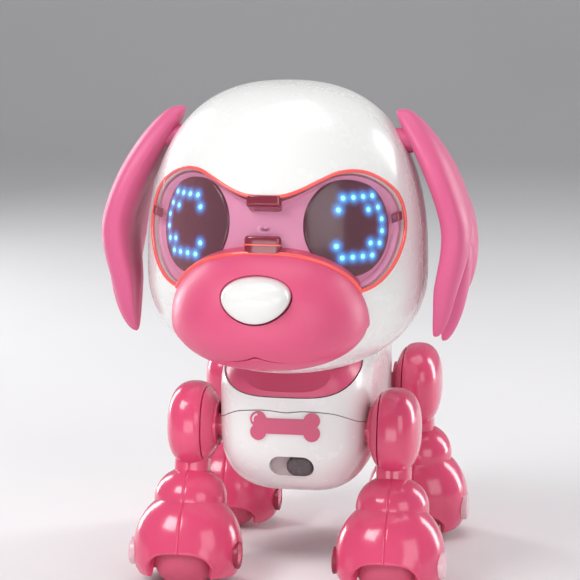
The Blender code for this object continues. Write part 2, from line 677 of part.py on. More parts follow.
def electronics():
    """Button cells in a holder above the belly, the main board over them and a speaker over that."""
    floor = BELLY_Z + BELLY_FLOOR + GAP
    cells_z = floor + 0.0003 + CELL_RADIUS
    half_stack = CELL_COUNT * CELL_HEIGHT / 2 + 0.0012
    wall = 0.0012
    reach = CELL_RADIUS + GAP
    holder = block((-half_stack - wall, CELLS_Y - reach - 0.0008, floor),
                   (half_stack + wall, CELLS_Y + reach + 0.0008, cells_z + reach + wall))
    cut(holder, block((-half_stack, CELLS_Y - reach, 0), (half_stack, CELLS_Y + reach, cells_z + reach)))
    node(holder, "battery_holder", BLACK)
    for index in range(CELL_COUNT):
        middle = (index - (CELL_COUNT - 1) / 2) * CELL_HEIGHT
        half = CELL_HEIGHT / 2 - GAP / 2
        cell = rod("X", (CELLS_Y, cells_z), CELL_RADIUS, middle - half, middle + half * 0.6, 24)
        join(cell, rod("X", (CELLS_Y, cells_z), CELL_RADIUS - 0.0009, middle, middle + half, 24))
        node(cell, f"battery_cell_{index + 1}", METAL, 1.0)
    for name, side in (("right", -1), ("left", 1)):
        outer = side * (half_stack - GAP)
        inner = side * (half_stack - GAP - 0.0005)
        contact = rod("X", (CELLS_Y, cells_z), 0.0040, min(inner, outer), max(inner, outer), 16)
        node(contact, name + "_battery_contact", METAL, 1.0)
    board_z = cells_z + reach + wall + GAP
    board = block((-0.0110, -0.0150, board_z), (0.0110, 0.0240, board_z + 0.0016))
    join(board, block((-0.006, -0.006, board_z + 0.001), (0.002, 0.002, board_z + 0.0030)))
    join(board, block((-0.009, 0.012, board_z + 0.001), (-0.005, 0.019, board_z + 0.0032)))
    node(board, "main_board", BOARD_GREEN)
    speaker_z = board_z + 0.0040
    speaker = rod("Z", (0, 0.0100), SPEAKER_RADIUS, speaker_z, speaker_z + SPEAKER_HEIGHT, 20)
    cut(speaker, rod("Z", (0, 0.0100), SPEAKER_RADIUS - 0.0015, speaker_z + SPEAKER_HEIGHT - 0.0015, 0.1, 20))
    node(speaker, "speaker", BLACK)


# Legs ------------------------------------------------------------------------------------------

def thigh_form(offset=0.0):
    radii = [size + offset for size in (THIGH_HALF_THICKNESS, THIGH_HALF_LENGTH, THIGH_HALF_HEIGHT)]
    return rounded((LEG_X, 0, 0.0002), radii, 2.5, 16, 8)


def thigh(hub_end):
    """Outer half, hollow with the knee's pin and a slot below, and inner half with the hip's hub."""
    split = LEG_X - THIGH_SPLIT
    outer = cut(thigh_form(), thigh_form(-THIGH_WALL))
    keep(outer, block((split + GAP / 2, -0.05, -0.05), (0.05, 0.05, 0.05)))
    slot_half = TONGUE_HALF_THICKNESS + 0.0008
    cut(outer, block((0, KNEE_Y - 0.0068, -0.05), (LEG_X + slot_half, KNEE_Y + 0.0068, -0.0015)))
    knee = (KNEE_Y, -KNEE_DROP)
    join(outer, rod("X", knee, KNEE_PIN_RADIUS, split + 0.0005, LEG_X + THIGH_HALF_THICKNESS - 0.0014, 8))
    inner = thigh_form()
    keep(inner, block((0, -0.05, -0.05), (split - GAP / 2, 0.05, 0.05)))
    join(inner, rod("X", (0, 0), HUB_RADIUS, hub_end, split - 0.0005, 10))
    join(inner, rod("X", (0, 0), HUB_RADIUS * 1.9, LEG_X - THIGH_HALF_THICKNESS + 0.0001, split - 0.0006, 16))
    join(inner, rod("X", (0, 0), HUB_RADIUS + 0.0010, hub_end - 0.0012, hub_end + 0.0001, 12))
    return outer, inner


def paw_form(offset=0.0):
    radii = (PAW_HALF_WIDTH + offset, PAW_HALF_LENGTH + offset, PAW_RISE + offset, 0.0100 + offset)
    return rounded((LEG_X, PAW_Y, -PAW_DROP), radii, 2.2, 18, 10)


def wheel_form(room=0.0):
    """The paw's barrel wheel, or the room round it."""
    radii = (WHEEL_HALF_WIDTH + room, WHEEL_RADIUS + room, WHEEL_RADIUS + room)
    centre = (LEG_X, PAW_Y - WHEEL_FORWARD, -PAW_DROP)
    form = rounded((0, 0, 0), (radii[1], radii[2], radii[0]), 2.0, 16, 8)
    form.data.transform(Matrix.Translation(centre) @ Matrix.Rotation(math.radians(90), 4, "Y"))
    return form


def shin_halves():
    """Tongue, ball and paw in one form, hollow round the wheel, parted on the leg's middle plane."""
    knee = (KNEE_Y, -KNEE_DROP)
    left_x = LEG_X - TONGUE_HALF_THICKNESS
    right_x = LEG_X + TONGUE_HALF_THICKNESS
    form = rod("X", knee, TONGUE_RADIUS, left_x, right_x, 16)
    neck_low = -BALL_DROP
    join(form, block((left_x, KNEE_Y - 0.0044, neck_low), (right_x, KNEE_Y + 0.0036, -KNEE_DROP)))
    ball_radii = (BALL_HALF_WIDTH, BALL_HALF_WIDTH + 0.0003, BALL_HALF_HEIGHT)
    join(form, rounded((LEG_X, BALL_Y, -BALL_DROP), ball_radii, 2.1, 16, 8), paw_form())
    wheel = (PAW_Y - WHEEL_FORWARD, -PAW_DROP)
    sole = -PAW_DROP - PAW_SKIRT
    cut(form, block((0, -0.05, -0.06), (0.06, 0.05, sole)))
    cut(form, wheel_form(WHEEL_ROOM))
    half_width = WHEEL_HALF_WIDTH + WHEEL_ROOM
    half_length = WHEEL_RADIUS + WHEEL_ROOM
    low = (LEG_X - half_width, wheel[0] - half_length - 0.01, -0.06)
    high = (LEG_X + half_width, wheel[0] + half_length, wheel[1] + 0.0010)
    cut(form, block(low, high))
    cut(form, rod("X", knee, KNEE_PIN_RADIUS + RUNNING_GAP, 0, 0.05, 10))
    cut(form, rod("X", wheel, AXLE_RADIUS + RUNNING_GAP, 0, 0.06, 10))
    cut(form, rod("X", wheel, CAP_RADIUS + GAP, LEG_X + PAW_HALF_WIDTH - 0.0011, 0.06, 16))
    copy = form.copy()
    copy.data = form.data.copy()
    bpy.context.scene.collection.objects.link(copy)
    outer = keep(form, block((LEG_X + GAP / 2, -0.05, -0.06), (0.05, 0.05, 0.05)))
    inner = keep(copy, block((0, -0.05, -0.06), (LEG_X - GAP / 2, 0.05, 0.05)))
    return outer, inner


def wheel_and_cap():
    """A barrel wheel on its stub axles, and the cap that covers the axle outside."""
    spot = (PAW_Y - WHEEL_FORWARD, -PAW_DROP)
    barrel = wheel_form()
    reach = PAW_HALF_WIDTH - 0.0014
    join(barrel, rod("X", spot, AXLE_RADIUS, LEG_X - reach, LEG_X + reach, 10))
    cap = rod("X", spot, CAP_RADIUS, LEG_X + PAW_HALF_WIDTH - 0.0008, LEG_X + PAW_HALF_WIDTH + 0.0004, 16)
    return barrel, cap


def legs(dog):
    for front in (True, False):
        for side_name, side in (("right", -1), ("left", 1)):
            name = ("front_" if front else "rear_") + side_name
            hip = bpy.data.objects.new(name + "_hip", None)
            hip.location = (0, -HIP_Y if front else HIP_Y, hip_height(front))
            hip.rotation_euler.x = math.radians(-LEG_TILT if front else LEG_TILT)
            hip.parent = dog
            bpy.context.scene.collection.objects.link(hip)
            thigh_outer, thigh_inner = thigh(0.0129)
            shin_outer, shin_inner = shin_halves()
            wheel, cap = wheel_and_cap()
            pieces = {
                "thigh_outer": (thigh_outer, PINK), "thigh_inner": (thigh_inner, PINK),
                "shin_outer": (shin_outer, PINK), "shin_inner": (shin_inner, PINK),
                "paw_wheel": (wheel, SOFT_PINK), "paw_cap": (cap, CAP_PINK),
            }
            for piece_name, (form, finish) in pieces.items():
                if side < 0:
                    form.data.transform(Matrix.Scale(-1, 4, (1, 0, 0)))
                    form.data.flip_normals()
                node(form, f"{name}_{piece_name}", finish).parent = hip


def stand_over_origin(dog):
    """Moves the whole toy along Y so that its box is centred on the origin."""
    bpy.context.view_layer.update()
    depths = [
        (part.matrix_world @ vert.co).y
        for part in bpy.data.objects if part.type == "MESH" for vert in part.data.vertices
    ]
    dog.location.y = -(min(depths) + max(depths)) / 2


def build():
    clear_scene()
    head_shells()
    visor()
    face_mask()
    eye_panels()
    snout_and_jaw()
    nose()
    ears()
    body_shells()
    neck()
    badge_and_tail()
    power_switch()
    electronics()
    dog = bpy.data.objects.new("dog", None)
    bpy.context.scene.collection.objects.link(dog)
    for part in bpy.data.objects:
        if part.type == "MESH":
            part.parent = dog
    legs(dog)
    stand_over_origin(dog)


build()
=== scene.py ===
"""The finished looks of a toy robot dog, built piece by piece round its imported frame."""

import json
import math

import bmesh
import bpy
import numpy as np
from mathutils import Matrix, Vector


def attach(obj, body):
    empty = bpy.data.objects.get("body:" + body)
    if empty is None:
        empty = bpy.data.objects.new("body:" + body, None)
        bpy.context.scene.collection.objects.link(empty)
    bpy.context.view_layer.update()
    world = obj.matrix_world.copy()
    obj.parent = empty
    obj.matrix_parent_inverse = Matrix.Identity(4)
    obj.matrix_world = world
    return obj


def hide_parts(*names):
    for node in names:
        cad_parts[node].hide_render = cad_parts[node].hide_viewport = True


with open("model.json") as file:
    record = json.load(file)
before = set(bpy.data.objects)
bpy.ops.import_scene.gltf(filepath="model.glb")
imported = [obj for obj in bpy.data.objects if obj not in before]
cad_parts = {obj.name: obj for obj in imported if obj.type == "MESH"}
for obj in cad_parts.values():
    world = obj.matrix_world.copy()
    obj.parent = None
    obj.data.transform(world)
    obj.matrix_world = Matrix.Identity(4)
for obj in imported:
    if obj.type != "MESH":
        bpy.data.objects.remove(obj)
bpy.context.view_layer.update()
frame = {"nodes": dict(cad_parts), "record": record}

joints = {joint["name"]: joint for joint in frame["record"]["behaviour"]["joints"]}
NECK_FORWARD = 0.0250
# Depths are read from a point this far behind the neck's axis, and heights from the floor.
DOG = np.array([0.0, joints["neck_turn"]["pos_m"][1] + NECK_FORWARD, 0.0])


# Head shells -----------------------------------------------------------------------------------
# Two glossy white ABS mouldings that meet on a plane just ahead of the head's centre. The front
# one is open for the goggle window, and its edge is rolled. The rear one carries the ears.
HEAD_CENTRE = DOG + (0.0, -0.0325, 0.0806)
HEAD_RADIUS = 0.0340
HEAD_RISE = 0.0454
HEAD_DROP = 0.0250
HEAD_CROWN_POWER = 2.5
HEAD_CHIN_POWER = 2.2
HEAD_WALL = 0.0018
SEAM_FORWARD = 0.0060
SEAM_GAP = 0.00030
LIP = 0.00028
WHITE = (0.86, 0.86, 0.845)


def head_profile(rise, offset=0.0):
    """The power n and the half height H of the head's form, which differ above and below its centre."""
    power = np.where(rise > 0, HEAD_CROWN_POWER, HEAD_CHIN_POWER)
    return power, np.where(rise > 0, HEAD_RISE, HEAD_DROP) + offset


def head_surface(aim, offset=0.0):
    """Where a ray from the head's centre along aim meets (r/R)^n + (|z|/H)^n = 1, grown by offset."""
    across = np.hypot(aim[..., 0], aim[..., 1])
    rise = aim[..., 2]
    power, reach = head_profile(rise, offset)
    size = (across / (HEAD_RADIUS + offset)) ** power + (np.abs(rise) / reach) ** power
    return HEAD_CENTRE + aim * (size ** (-1 / power))[..., None]


def head_aim(angle, height):
    """Ray to the point of the head at an angle round it from the nose, in degrees, and a height."""
    angle = np.radians(angle)
    rise = height - HEAD_CENTRE[2]
    power, reach = head_profile(rise)
    radius = HEAD_RADIUS * (1 - (np.abs(rise) / reach) ** power) ** (1 / power)
    return np.stack([radius * np.sin(angle), -radius * np.cos(angle), rise], axis=-1)


def unit(rays):
    """The same rays, each of length one."""
    return rays / np.linalg.norm(rays, axis=-1, keepdims=True)


def swing(start, end, part):
    """Turns unit rays from start to end at an even rate: (sin((1-t)w) a + sin(tw) b) / sin w."""
    angle = np.arccos(np.clip((start * end).sum(axis=-1, keepdims=True), -1, 1))
    angle = np.maximum(angle, 1e-6)
    return (np.sin((1 - part) * angle) * start + np.sin(part * angle) * end) / np.sin(angle)


def smooth_line(points, steps=12, closed=True):
    """A Catmull-Rom curve through the points: each stretch is the cubic of its four neighbours."""
    points = np.asarray(points, float)
    if closed:
        padded = np.concatenate([points[-1:], points, points[:2]])
    else:
        padded = np.concatenate([2 * points[:1] - points[1:2], points, 2 * points[-1:] - points[-2:-1]])
    t = (np.arange(steps) / steps)[None, :, None]
    a, b, c, d = (padded[shift:len(padded) - 3 + shift, None, :] for shift in range(4))
    bend = (2 * a - 5 * b + 4 * c - d) * t ** 2
    line = 0.5 * (2 * b + (c - a) * t + bend + (3 * b - a - 3 * c + d) * t ** 3)
    line = line.reshape(-1, points.shape[1])
    return line if closed else np.concatenate([line, points[-1:]])


def skin_rows(length, rows, wall, lip, start_open=True, end_open=True, inner_rows=10):
    """Distances along a wall and depths below its face, out along the face and back behind it.

    An open end is rounded by a quarter turn: the face stops one lip short, then drops by one lip.
    """
    turn = np.radians([67, 45, 22])
    along = np.linspace(lip if start_open else 0, length - (lip if end_open else 0), rows)
    depth = np.zeros(rows)
    if start_open:
        along = np.concatenate([[0, 0], lip * (1 - np.sin(np.pi / 2 - turn)), along])
        depth = np.concatenate([[wall, lip], lip * (1 - np.cos(np.pi / 2 - turn)), depth])
    if end_open:
        along = np.concatenate([along, length - lip * (1 - np.sin(turn)), [length, length]])
        depth = np.concatenate([depth, lip * (1 - np.cos(turn)), [lip, wall]])
    back = np.linspace(length, 0, inner_rows + 2)
    if end_open:
        back = back[1:]
    if start_open:
        back = back[:-1]
    return np.concatenate([along, back]), np.concatenate([depth, np.full(len(back), wall)])


def mesh_of(name, grid, around=True, ring=False):
    """An object from a grid of points, rows by columns: a quad between each four neighbours.

    around joins the last column to the first, ring the last row to the first. Points that fall
    together, as at a pole, are merged, and the faces are turned outwards by the signed volume.
    """
    rows, columns = grid.shape[:2]
    count_r = rows if ring else rows - 1
    count_c = columns if around else columns - 1
    r = np.arange(count_r)[:, None]
    c = np.arange(count_c)[None, :]
    r_next = (r + 1) % rows
    c_next = (c + 1) % columns
    faces = np.stack([
        r * columns + c, r * columns + c_next, r_next * columns + c_next, r_next * columns + c,
    ], axis=-1).reshape(-1, 4)
    mesh = bpy.data.meshes.new(name)
    mesh.from_pydata(grid.reshape(-1, 3), [], faces.tolist())
    bm = bmesh.new()
    bm.from_mesh(mesh)
    bmesh.ops.remove_doubles(bm, verts=bm.verts, dist=2e-7)
    bmesh.ops.dissolve_degenerate(bm, edges=bm.edges, dist=1e-7)
    if bm.calc_volume(signed=True) < 0:
        bmesh.ops.reverse_faces(bm, faces=bm.faces)
    bm.to_mesh(mesh)
    bm.free()
    mesh.shade_smooth()
    piece = bpy.data.objects.new(name, mesh)
    bpy.context.scene.collection.objects.link(piece)
    return piece


def finish(piece, body, material, nodes=(), sharp=None):
    """Gives a piece its material, the body it rides on and the frame nodes that it stands for."""
    if sharp is not None:
        piece.data.set_sharp_from_angle(angle=math.radians(sharp))
    piece.data.materials.clear()
    piece.data.materials.append(material)
    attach(piece, body)
    if nodes:
        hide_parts(*nodes)
    return piece


def new_material(name):
    """A fresh material, with its node tree and its shader."""
    material = bpy.data.materials.new(name)
    material.use_nodes = True
    return material, material.node_tree, material.node_tree.nodes["Principled BSDF"]


def noise(tree, scale, detail=2.0):
    """A noise texture that reads the piece's own coordinates."""
    place = tree.nodes.new("ShaderNodeTexCoord")
    texture = tree.nodes.new("ShaderNodeTexNoise")
    texture.inputs["Scale"].default_value = scale
    texture.inputs["Detail"].default_value = detail
    tree.links.new(place.outputs["Object"], texture.inputs["Vector"])
    return texture


def colour_mix(tree, first, second, driver, target):
    """Drives a socket with a mix of two colours."""
    tint = tree.nodes.new("ShaderNodeMix")
    tint.data_type = "RGBA"
    tint.inputs["A"].default_value = (*first, 1)
    tint.inputs["B"].default_value = (*second, 1)
    tree.links.new(driver.outputs["Fac"], tint.inputs["Factor"])
    tree.links.new(tint.outputs["Result"], target)


def moulded(name, colour, roughness, blotch=0.04, blotch_scale=60.0, peel=0.02, coat=0.0, glow=0.0,
            grain_scale=900.0, specular=0.5, bleed=0.0):
    """Moulded plastic: slow colour drift, faint orange peel in the bump, and uneven gloss."""
    material, tree, shader = new_material(name)
    darker = [part * (1 - blotch) for part in colour]
    lighter = [min(part * (1 + blotch), 1.0) for part in colour]
    colour_mix(tree, darker, lighter, noise(tree, blotch_scale, 3.0), shader.inputs["Base Color"])

    wear = noise(tree, blotch_scale * 4, 5.0)
    gloss = tree.nodes.new("ShaderNodeMapRange")
    gloss.inputs["From Min"].default_value = 0.3
    gloss.inputs["From Max"].default_value = 0.7
    gloss.inputs["To Min"].default_value = roughness * 0.85
    gloss.inputs["To Max"].default_value = roughness * 1.15
    tree.links.new(wear.outputs["Fac"], gloss.inputs["Value"])
    tree.links.new(gloss.outputs["Result"], shader.inputs["Roughness"])

    grain = noise(tree, grain_scale)
    bump = tree.nodes.new("ShaderNodeBump")
    bump.inputs["Strength"].default_value = peel
    bump.inputs["Distance"].default_value = 0.0002
    tree.links.new(grain.outputs["Fac"], bump.inputs["Height"])
    tree.links.new(bump.outputs["Normal"], shader.inputs["Normal"])

    shader.inputs["Specular IOR Level"].default_value = specular
    if coat:
        shader.inputs["Coat Weight"].default_value = coat
        shader.inputs["Coat Roughness"].default_value = 0.10
    if bleed:
        shader.inputs["Subsurface Weight"].default_value = bleed
        shader.inputs["Subsurface Radius"].default_value = (0.004, 0.0012, 0.0016)
        shader.inputs["Subsurface Scale"].default_value = 1.0
    # glow is painted light: an emission for plastic that is no lamp.
    if glow:
        shader.inputs["Emission Color"].default_value = (*colour, 1)
        shader.inputs["Emission Strength"].default_value = glow
    return material


# The goggle outline as (angle round the head, height), from the bottom middle towards the dog's left.
GOGGLE_MIDDLE = head_aim(0.0, 0.0955)
goggle_left = [
    (12, 0.0800), (25, 0.0799), (34, 0.0797), (42, 0.0801), (50, 0.0820), (58.5, 0.0862), (64.5, 0.0915),
    (66, 0.0960), (64.5, 0.1000), (60, 0.1030), (52, 0.1057), (43, 0.1072), (33, 0.1072), (24, 0.1056),
    (15.5, 0.1036), (9, 0.1024), (3, 0.1020),
]
goggle_points = goggle_left + [(-angle, height) for angle, height in reversed(goggle_left)]
goggle_line = smooth_line(goggle_points, 12)
goggle_aim = unit(head_aim(goggle_line[:, 0], goggle_line[:, 1]))


def seam_aim(forward, steps=720):
    """Rays to the curve where the plane y = -forward cuts the head, found by halving along each spoke."""
    spoke = np.linspace(0, 2 * np.pi, steps, endpoint=False)
    ray = np.stack([np.cos(spoke), np.sin(spoke)], axis=-1)
    low, high = np.zeros(steps), np.full(steps, 0.06)
    for _ in range(40):
        middle = (low + high) / 2
        rise = ray[:, 1] * middle
        power, reach = head_profile(rise)
        across = np.hypot(ray[:, 0] * middle, forward)
        size = (across / HEAD_RADIUS) ** power + (np.abs(rise) / reach) ** power
        low = np.where(size < 1, middle, low)
        high = np.where(size < 1, high, middle)
    return np.stack([ray[:, 0] * low, np.full(steps, -forward), ray[:, 1] * low], axis=-1)


def matched(curve, centre, target):
    """The points of a closed curve at the target's clock angles round a centre, seen along Y."""
    own = np.arctan2(curve[:, 2] - centre[2], curve[:, 0] - centre[0])
    order = np.argsort(own)
    wanted = np.arctan2(target[:, 2] - centre[2], target[:, 0] - centre[0])
    return np.stack([
        np.interp(wanted, own[order], curve[order, axis], period=2 * np.pi) for axis in range(3)
    ], axis=-1)


def head_skin(start, end, rows, wall, lip, start_open=True, end_open=True, top=0.0):
    """A wall on the head between two curves of rays: slide from start to end, drop by the depth."""
    length = np.arccos(np.clip((start * end).sum(axis=-1), -1, 1)) * HEAD_RADIUS
    along, depth = skin_rows(1.0, rows, wall, lip / length.mean(), start_open, end_open)
    depth = np.where(depth < wall * 0.5, depth * length.mean(), depth)
    aims = swing(start[None], end[None], along[:, None, None])
    return np.stack([head_surface(aim, top - drop) for aim, drop in zip(aims, depth)])


front_seam = matched(seam_aim(SEAM_FORWARD + SEAM_GAP / 2), GOGGLE_MIDDLE, goggle_aim * HEAD_RADIUS)
rear_seam = matched(seam_aim(SEAM_FORWARD - SEAM_GAP / 2), GOGGLE_MIDDLE, goggle_aim * HEAD_RADIUS)
white_plastic = moulded("white_plastic", WHITE, 0.26, blotch=0.012, peel=0.012, coat=0.25, bleed=0.04)

front_shell = mesh_of("head_front", head_skin(goggle_aim, unit(front_seam), 48, HEAD_WALL, LIP), ring=True)
finish(front_shell, "head", white_plastic, ["head_front_shell"], sharp=50)

back_pole = np.broadcast_to(np.array([0.0, 1.0, 0.0]), rear_seam.shape)
rear_shell = mesh_of("head_rear", head_skin(unit(rear_seam), back_pole, 64, HEAD_WALL, LIP, end_open=False))
finish(rear_shell, "head", white_plastic, ["head_rear_shell"], sharp=50)


# Goggle window ---------------------------------------------------------------------------------
# A clear pink-tinted moulding snapped into the front shell over a lilac mask. Its cut edge is its own
# orange-red with a painted glow, and two dark red clips hold it above the muzzle and under the brow.
VISOR_PROUD = 0.0003
VISOR_WALL = 0.0013
MASK_DEPTH = 0.0030
MASK_SKIN = 0.0010
RIM_RADIUS = 0.00042
MASK_LILAC = (0.74, 0.30, 0.48)
RIM_RED = (0.80, 0.10, 0.09)
CLIP_RED = (0.23, 0.022, 0.045)
CLEAR_DEEP = (0.86, 0.30, 0.38)
CLEAR_PALE = (0.92, 0.38, 0.44)


def tube(name, path, outward, radius, flatten=1.0, closed=True, sides=14):
    """A round bar along a path: each ring is r (cos a N + f sin a B), N outward, B across the path."""
    if closed:
        along = np.roll(path, -1, axis=0) - np.roll(path, 1, axis=0)
    else:
        along = np.gradient(path, axis=0)
    along = unit(along)
    outward = unit(outward - (outward * along).sum(axis=-1, keepdims=True) * along)
    across = np.cross(along, outward)
    angle = np.linspace(0, 2 * np.pi, sides, endpoint=False)[:, None, None]
    radius = np.broadcast_to(np.asarray(radius, float), (len(path),))[None, :, None]
    rings = path[None] + radius * (np.cos(angle) * outward[None] + flatten * np.sin(angle) * across[None])
    if not closed:
        first = np.repeat(path[None, :1], sides, axis=0)
        last = np.repeat(path[None, -1:], sides, axis=0)
        rings = np.concatenate([first, rings, last], axis=1)
    return mesh_of(name, rings, around=closed, ring=True)


def clear_pink(name):
    """Tinted clear plastic: mostly see-through, and more mirror-like towards its edges."""
    material, tree, shader = new_material(name)
    shader.inputs["Roughness"].default_value = 0.05
    shader.inputs["Specular IOR Level"].default_value = 0.5
    edge = tree.nodes.new("ShaderNodeLayerWeight")
    edge.inputs["Blend"].default_value = 0.35
    cover = tree.nodes.new("ShaderNodeMapRange")
    cover.inputs["To Min"].default_value = 0.03
    cover.inputs["To Max"].default_value = 0.24
    tree.links.new(edge.outputs["Facing"], cover.inputs["Value"])
    tree.links.new(cover.outputs["Result"], shader.inputs["Alpha"])
    colour_mix(tree, CLEAR_DEEP, CLEAR_PALE, noise(tree, 45.0), shader.inputs["Base Color"])
    return material


goggle_pole = np.broadcast_to(unit(GOGGLE_MIDDLE), goggle_aim.shape)
window_edge = swing(goggle_aim, goggle_pole, 0.02)
visor_grid = head_skin(window_edge, goggle_pole, 26, VISOR_WALL, LIP, end_open=False, top=VISOR_PROUD)
visor = mesh_of("goggle_window", visor_grid)
finish(visor, "head", clear_pink("clear_pink_plastic"), ["visor"], sharp=50)

mask_inward = np.array([0.0004, 0.0005, 0.0008, 0.0011, 0.0014, 0.0017, 0.0020])
mask_depths = np.array([0.0018, 0.0014, 0.00135, 0.0017, 0.0025, 0.00295, 0.0030])
mask_reach = np.arccos(np.clip((goggle_aim * goggle_pole).sum(axis=-1), -1, 1)) * HEAD_RADIUS
mask_rows = [
    head_surface(swing(goggle_aim, goggle_pole, (inward / mask_reach)[:, None]), -depth)
    for inward, depth in zip(mask_inward, mask_depths)
]
for part in np.linspace(0, 1, 16):
    share = (mask_inward[-1] / mask_reach)[:, None] * (1 - part) + part
    mask_rows.append(head_surface(swing(goggle_aim, goggle_pole, share), -MASK_DEPTH))
for part in np.linspace(0.999, 0.02, 14):
    mask_rows.append(head_surface(swing(goggle_aim, goggle_pole, part), -MASK_DEPTH - MASK_SKIN))
mask = mesh_of("face_mask_shell", np.stack(mask_rows), ring=True)
lilac_plastic = moulded("lilac_mask_plastic", MASK_LILAC, 0.34, blotch=0.05, blotch_scale=40, peel=0.03)
finish(mask, "head", lilac_plastic, ["face_mask"], sharp=50)

# The window's edge red carries a painted glow: its emission lights plastic that is no lamp.
rim_red_painted_glow = moulded("window_edge_red", RIM_RED, 0.18, blotch=0.10, blotch_scale=90, glow=0.22, coat=0.4)
rim_path = head_surface(goggle_aim, -0.0001)
rim = tube("goggle_edge", rim_path, rim_path - HEAD_CENTRE, RIM_RADIUS, flatten=1.05)
finish(rim, "head", rim_red_painted_glow)


def squareness(angle, power):
    """How far a unit superellipse |cos|^n + |sin|^n = 1 reaches at an angle."""
    return (np.abs(np.cos(angle)) ** power + np.abs(np.sin(angle)) ** power) ** (-1 / power)


def head_patch(name, angle_range, height_range, low, high, rows=14, corner=0.25):
    """A pad that follows the head: angles by heights, rounded at its corners, between two offsets.

    The outline is the superellipse |u|^n + |v|^n = 1. The face falls by r^10, r being the share of
    the way out from the middle.
    """
    power = 2 / corner
    turn = np.linspace(0, 2 * np.pi, 96, endpoint=False)
    size = squareness(turn, power)
    ring = np.concatenate([np.linspace(0, 1, rows), np.ones(2)])
    across = ring[:, None] * (np.cos(turn) * size)[None]
    up = ring[:, None] * (np.sin(turn) * size)[None]
    angle = np.mean(angle_range) + across * np.ptp(angle_range) / 2
    height = np.mean(height_range) + up * np.ptp(height_range) / 2
    aims = head_aim(angle, height)
    fall = 1 - ring ** 10
    fall[-2:] = (-0.5, -1.0)
    layers = [head_surface(aim, low + (high - low) * (0.75 + 0.25 * part)) for aim, part in zip(aims, fall)]
    layers[-1] = head_surface(aims[-1], low)
    layers.append(np.repeat(layers[-1].mean(axis=0)[None], len(turn), axis=0))
    return mesh_of(name, np.stack(layers))


clip_red = moulded("clip_red_plastic", CLIP_RED, 0.16, blotch=0.25, blotch_scale=260, coat=0.6)
CLIP_ANGLES = (-7.4, 7.4)
CLIP_DEEP = -0.0026
CLIP_PROUD = 0.0006
brow_clip = head_patch("brow_clip", CLIP_ANGLES, (0.0998, 0.1023), CLIP_DEEP, CLIP_PROUD)
finish(brow_clip, "head", clip_red, sharp=60)
muzzle_clip = head_patch("muzzle_clip", CLIP_ANGLES, (0.0884, 0.0933), CLIP_DEEP, CLIP_PROUD)
finish(muzzle_clip, "head", clip_red, sharp=60)
# The ridge shares the edge red and its painted glow.
clip_ridge = head_patch("muzzle_clip_ridge", CLIP_ANGLES, (0.0908, 0.0912), CLIP_PROUD / 2, CLIP_PROUD * 1.5)
finish(clip_ridge, "head", rim_red_painted_glow, sharp=60)
LATCH_ANGLE = 61.5
LATCH_HALF_ANGLE = 1.5
for side_name, side in (("right", -1), ("left", 1)):
    latch_angles = (side * LATCH_ANGLE - LATCH_HALF_ANGLE, side * LATCH_ANGLE + LATCH_HALF_ANGLE)
    latch = head_patch(side_name + "_side_latch", latch_angles, (0.0950, 0.0972), -0.0016, 0.0005)
    finish(latch, "head", clip_red, sharp=60)


# Eyes ------------------------------------------------------------------------------------------
# Two round smoked panels set into the mask. Behind each, sixteen small blue lamps shine through,
# and their light spreads in the panel. The open side of each row of lamps faces the muzzle.
EYE_ANGLE = 38.5
EYE_Z = 0.0942
EYE_RADIUS = 0.0113
EYE_DEPTH = 0.00245
LAMP_PITCH = 0.00275
LAMP_RADIUS = 0.00058
LAMP_PROFILE = ((0, 0.5), (0.4, 0.46), (0.8, 0.3), (1.0, 0.0), (0.9, -0.4), (0, -0.5))
LAMP_OFFSET = 0.0012
GLOW_REACH = 0.00100
SMOKED = (0.030, 0.010, 0.020)
SMOKED_PALE = (0.052, 0.018, 0.034)
lamp_places = [(column, 2.5) for column in (-2, -1, 0, 1)]
lamp_places += [(-2.5, 1.5), (-1.4, 1.4), (1.55, 1.55), (-2.8, 0.5), (-2.75, -0.5)]
lamp_places += [(-2.4, -1.5), (-1.4, -1.4), (1.95, -1.45)]
lamp_places += [(column + 0.45, -2.45) for column in (-2, -1, 0, 1)]


def eye_surface(side, across, up, offset):
    """A point of the head as seen straight into an eye: across and up from the eye's middle."""
    height = EYE_Z + up
    rise = height - HEAD_CENTRE[2]
    power, reach = head_profile(rise, offset)
    radius = (HEAD_RADIUS + offset) * (1 - (np.abs(rise) / reach) ** power) ** (1 / power)
    out = np.sqrt(np.maximum(radius ** 2 - across ** 2, 0))
    angle = math.radians(EYE_ANGLE) * side
    x = out * math.sin(angle) + across * math.cos(angle)
    y = -out * math.cos(angle) + across * math.sin(angle)
    return np.stack([HEAD_CENTRE[0] + x, HEAD_CENTRE[1] + y, height], axis=-1)


def smoked_panel():
    """Smoked glossy panel: a dark wine tint, lit blue by the glow attribute where the lamps shine."""
    material, tree, shader = new_material("smoked_panel")
    shader.inputs["Roughness"].default_value = 0.22
    shader.inputs["Coat Weight"].default_value = 0.2
    shader.inputs["Coat Roughness"].default_value = 0.06
    lit = tree.nodes.new("ShaderNodeAttribute")
    lit.attribute_name = "glow"
    colour_mix(tree, SMOKED, SMOKED_PALE, noise(tree, 90.0), shader.inputs["Base Color"])
    ramp = tree.nodes.new("ShaderNodeValToRGB")
    ramp.color_ramp.elements[0].color = (0, 0, 0, 1)
    ramp.color_ramp.elements[1].color = (0.03, 0.62, 1.0, 1)
    middle = ramp.color_ramp.elements.new(0.35)
    middle.color = (0.006, 0.16, 0.50, 1)
    tree.links.new(lit.outputs["Fac"], ramp.inputs["Fac"])
    tree.links.new(ramp.outputs["Color"], shader.inputs["Emission Color"])
    shader.inputs["Emission Strength"].default_value = 1.3
    return material


